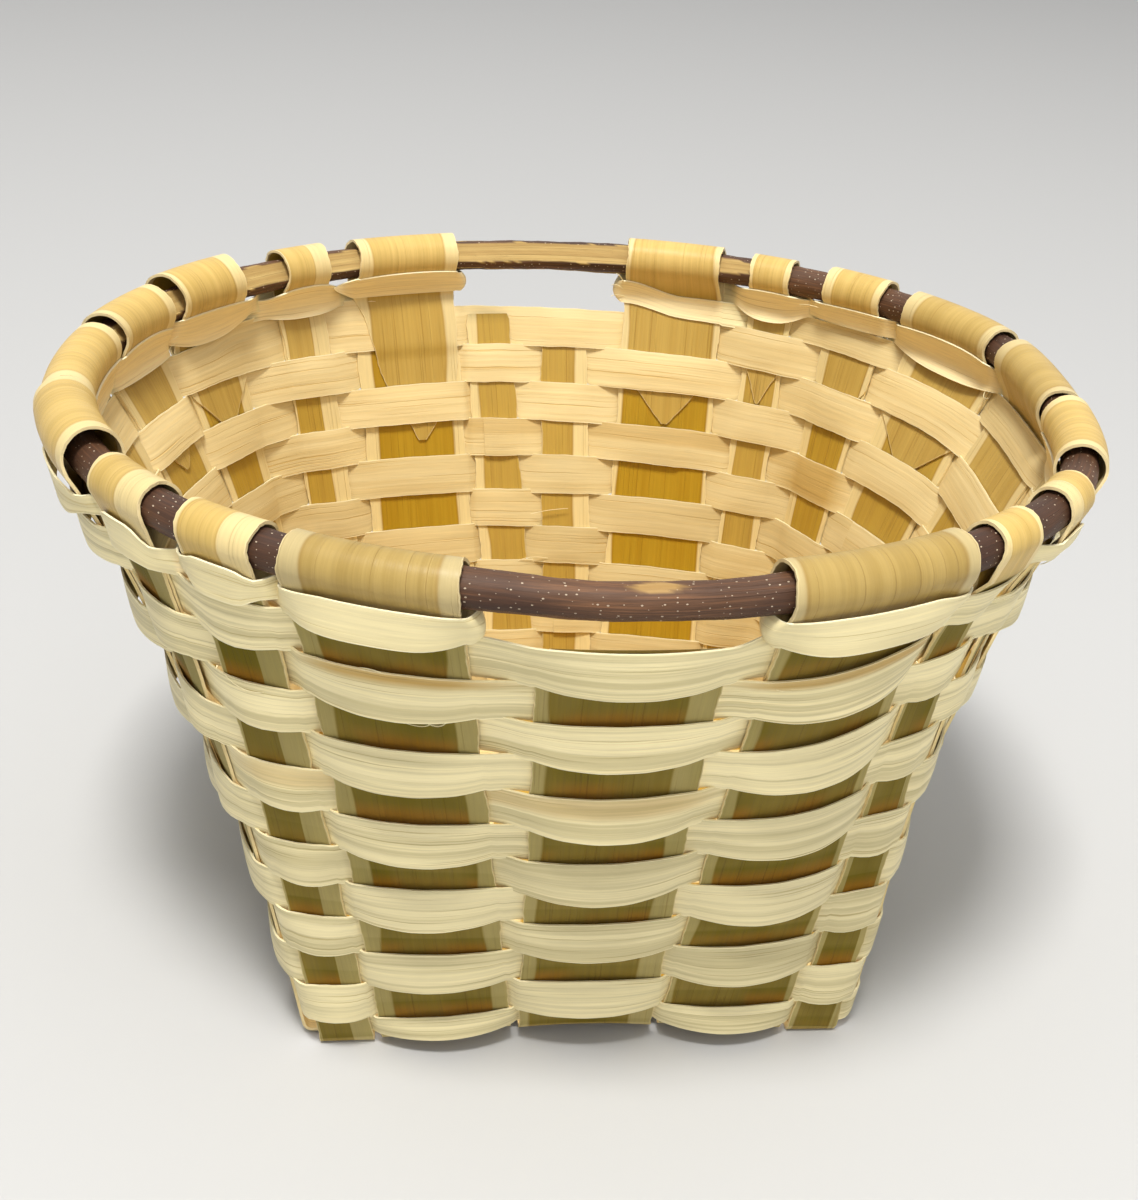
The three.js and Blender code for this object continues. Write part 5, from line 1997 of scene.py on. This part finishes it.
@dataclass
class Studio:
    """Pale floor, soft light and the camera of the photograph."""

    focal: float = 51.35
    place: tuple[float, float, float] = (-94.01, -850.8, 624.10)
    pitch: float = 0.4806
    yaw: float = 0.1146
    roll: float = 0.0543
    sensor: float = 36.0
    floor_size: float = 60.0
    floor_colour: Colour = (0.56, 0.56, 0.56)
    aim: tuple[float, float, float] = (0, 0, 0.2)
    dim: float = 0.13
    backdrop: Colour = (0.87, 0.875, 0.88)

    def camera(self) -> None:
        """Place the camera as the photograph was taken."""
        data = bpy.data.cameras.new("camera")
        data.lens = self.focal
        data.sensor_fit = "AUTO"
        data.sensor_width = self.sensor
        data.clip_start = 0.01
        made = bpy.data.objects.new("camera", data)
        ahead = Vector((math.sin(self.yaw) * math.cos(self.pitch), math.cos(self.yaw) * math.cos(self.pitch),
                        -math.sin(self.pitch)))
        right = ahead.cross(Vector((0, 0, 1))).normalized()
        above = right.cross(ahead)
        cosine, sine = math.cos(self.roll), math.sin(self.roll)
        rolled_right = cosine * right + sine * above
        rolled_above = -sine * right + cosine * above
        frame = Matrix((rolled_right, rolled_above, -ahead)).transposed().to_4x4()
        frame.translation = Vector(self.place) * MM
        made.matrix_world = frame
        bpy.context.scene.collection.objects.link(made)
        bpy.context.scene.camera = made

    def floor(self) -> None:
        """Lay the floor under the feet."""
        reach = self.floor_size / 2
        mesh = bpy.data.meshes.new("floor")
        mesh.from_pydata([(-reach, -reach, 0), (reach, -reach, 0), (reach, reach, 0), (-reach, reach, 0)], [],
                         [(0, 1, 2, 3)])
        material, board, shader = new_material("Floor_paper")
        board.fill(shader, {"Base Color": self.floor_colour, "Roughness": 0.85})
        mesh.materials.append(material)
        made = bpy.data.objects.new("floor", mesh)
        bpy.context.scene.collection.objects.link(made)

    def _lamp(self, name: str, place: tuple[float, float, float], size: float, power: float,
              colour: Colour) -> None:
        """Hang a soft square lamp that looks at the basket.

        Args:
            name: Name of the lamp.
            place: Where it hangs, in metres.
            size: Length of its side in metres.
            power: Power in watts.
            colour: Its colour.
        """
        data = bpy.data.lights.new(name, "AREA")
        data.shape, data.size, data.energy, data.color = "SQUARE", size, power, colour
        made = bpy.data.objects.new(name, data)
        made.location = place
        made.rotation_euler = (Vector(self.aim) - Vector(place)).to_track_quat("-Z", "Y").to_euler()
        bpy.context.scene.collection.objects.link(made)

    def light(self) -> None:
        """Hang the lamps and set the surroundings."""
        self._lamp("ceiling_lamp", (0.0, 0.5, 7.0), 14.0, 415.0, (1.0, 0.99, 0.97))
        self._lamp("key_lamp", (-0.5, -1.5, 5.0), 1.1, 262.0, (1.0, 0.985, 0.95))
        self._lamp("fill_lamp", (0.1, -3.0, 1.3), 2.2, 24.0, (1.0, 0.99, 0.97))
        self._lamp("side_lamp", (2.2, -1.8, 1.5), 1.4, 7.0, (1.0, 0.99, 0.97))
        world = bpy.data.worlds.new("studio")
        bpy.context.scene.world = world
        world.use_nodes = True
        tree = world.node_tree
        board = Board(tree)
        light = tree.nodes["Background"]
        board.fill(light, {0: (1, 1, 1), 1: self.dim})
        seen = board.node("ShaderNodeBackground", {0: self.backdrop, 1: 1.0})
        path = board.node("ShaderNodeLightPath")
        rays = board.plus(path.outputs["Is Camera Ray"], path.outputs["Is Glossy Ray"], clamp=True)
        rays = board.plus(rays, path.outputs["Is Transmission Ray"], clamp=True)
        both = board.node("ShaderNodeMixShader", {0: rays, 1: light.outputs[0], 2: seen.outputs[0]})
        board.fill(tree.nodes["World Output"], {0: both.outputs[0]})

    def build(self) -> None:
        """Set up floor, lamps and camera."""
        self.floor()
        self.light()
        self.camera()
        bpy.context.scene.view_settings.view_transform = "Standard"


def main() -> None:
    """Build the basket in order and report each piece."""
    logging.basicConfig(level=logging.INFO, format="%(message)s")
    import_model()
    groups = WoodGroups()
    wall = Wall()
    Rod(wall, BarkFinish(), groups).build()
    for plans, crossed in ((LENGTHWISE, CROSSWISE), (CROSSWISE, LENGTHWISE)):
        for lane, plan in enumerate(plans):
            Splint(wall, plan, lane, crossed, STAKE_WOOD, groups).build()
    binder = Binder(wall, BINDER_WOOD, groups)
    weavers = Weavers(wall, WEAVER_WOOD, groups)
    binder.build_left()
    binder.build_right(weavers)
    weavers.build()
    Studio().build()


if __name__ == "__main__":
    main()
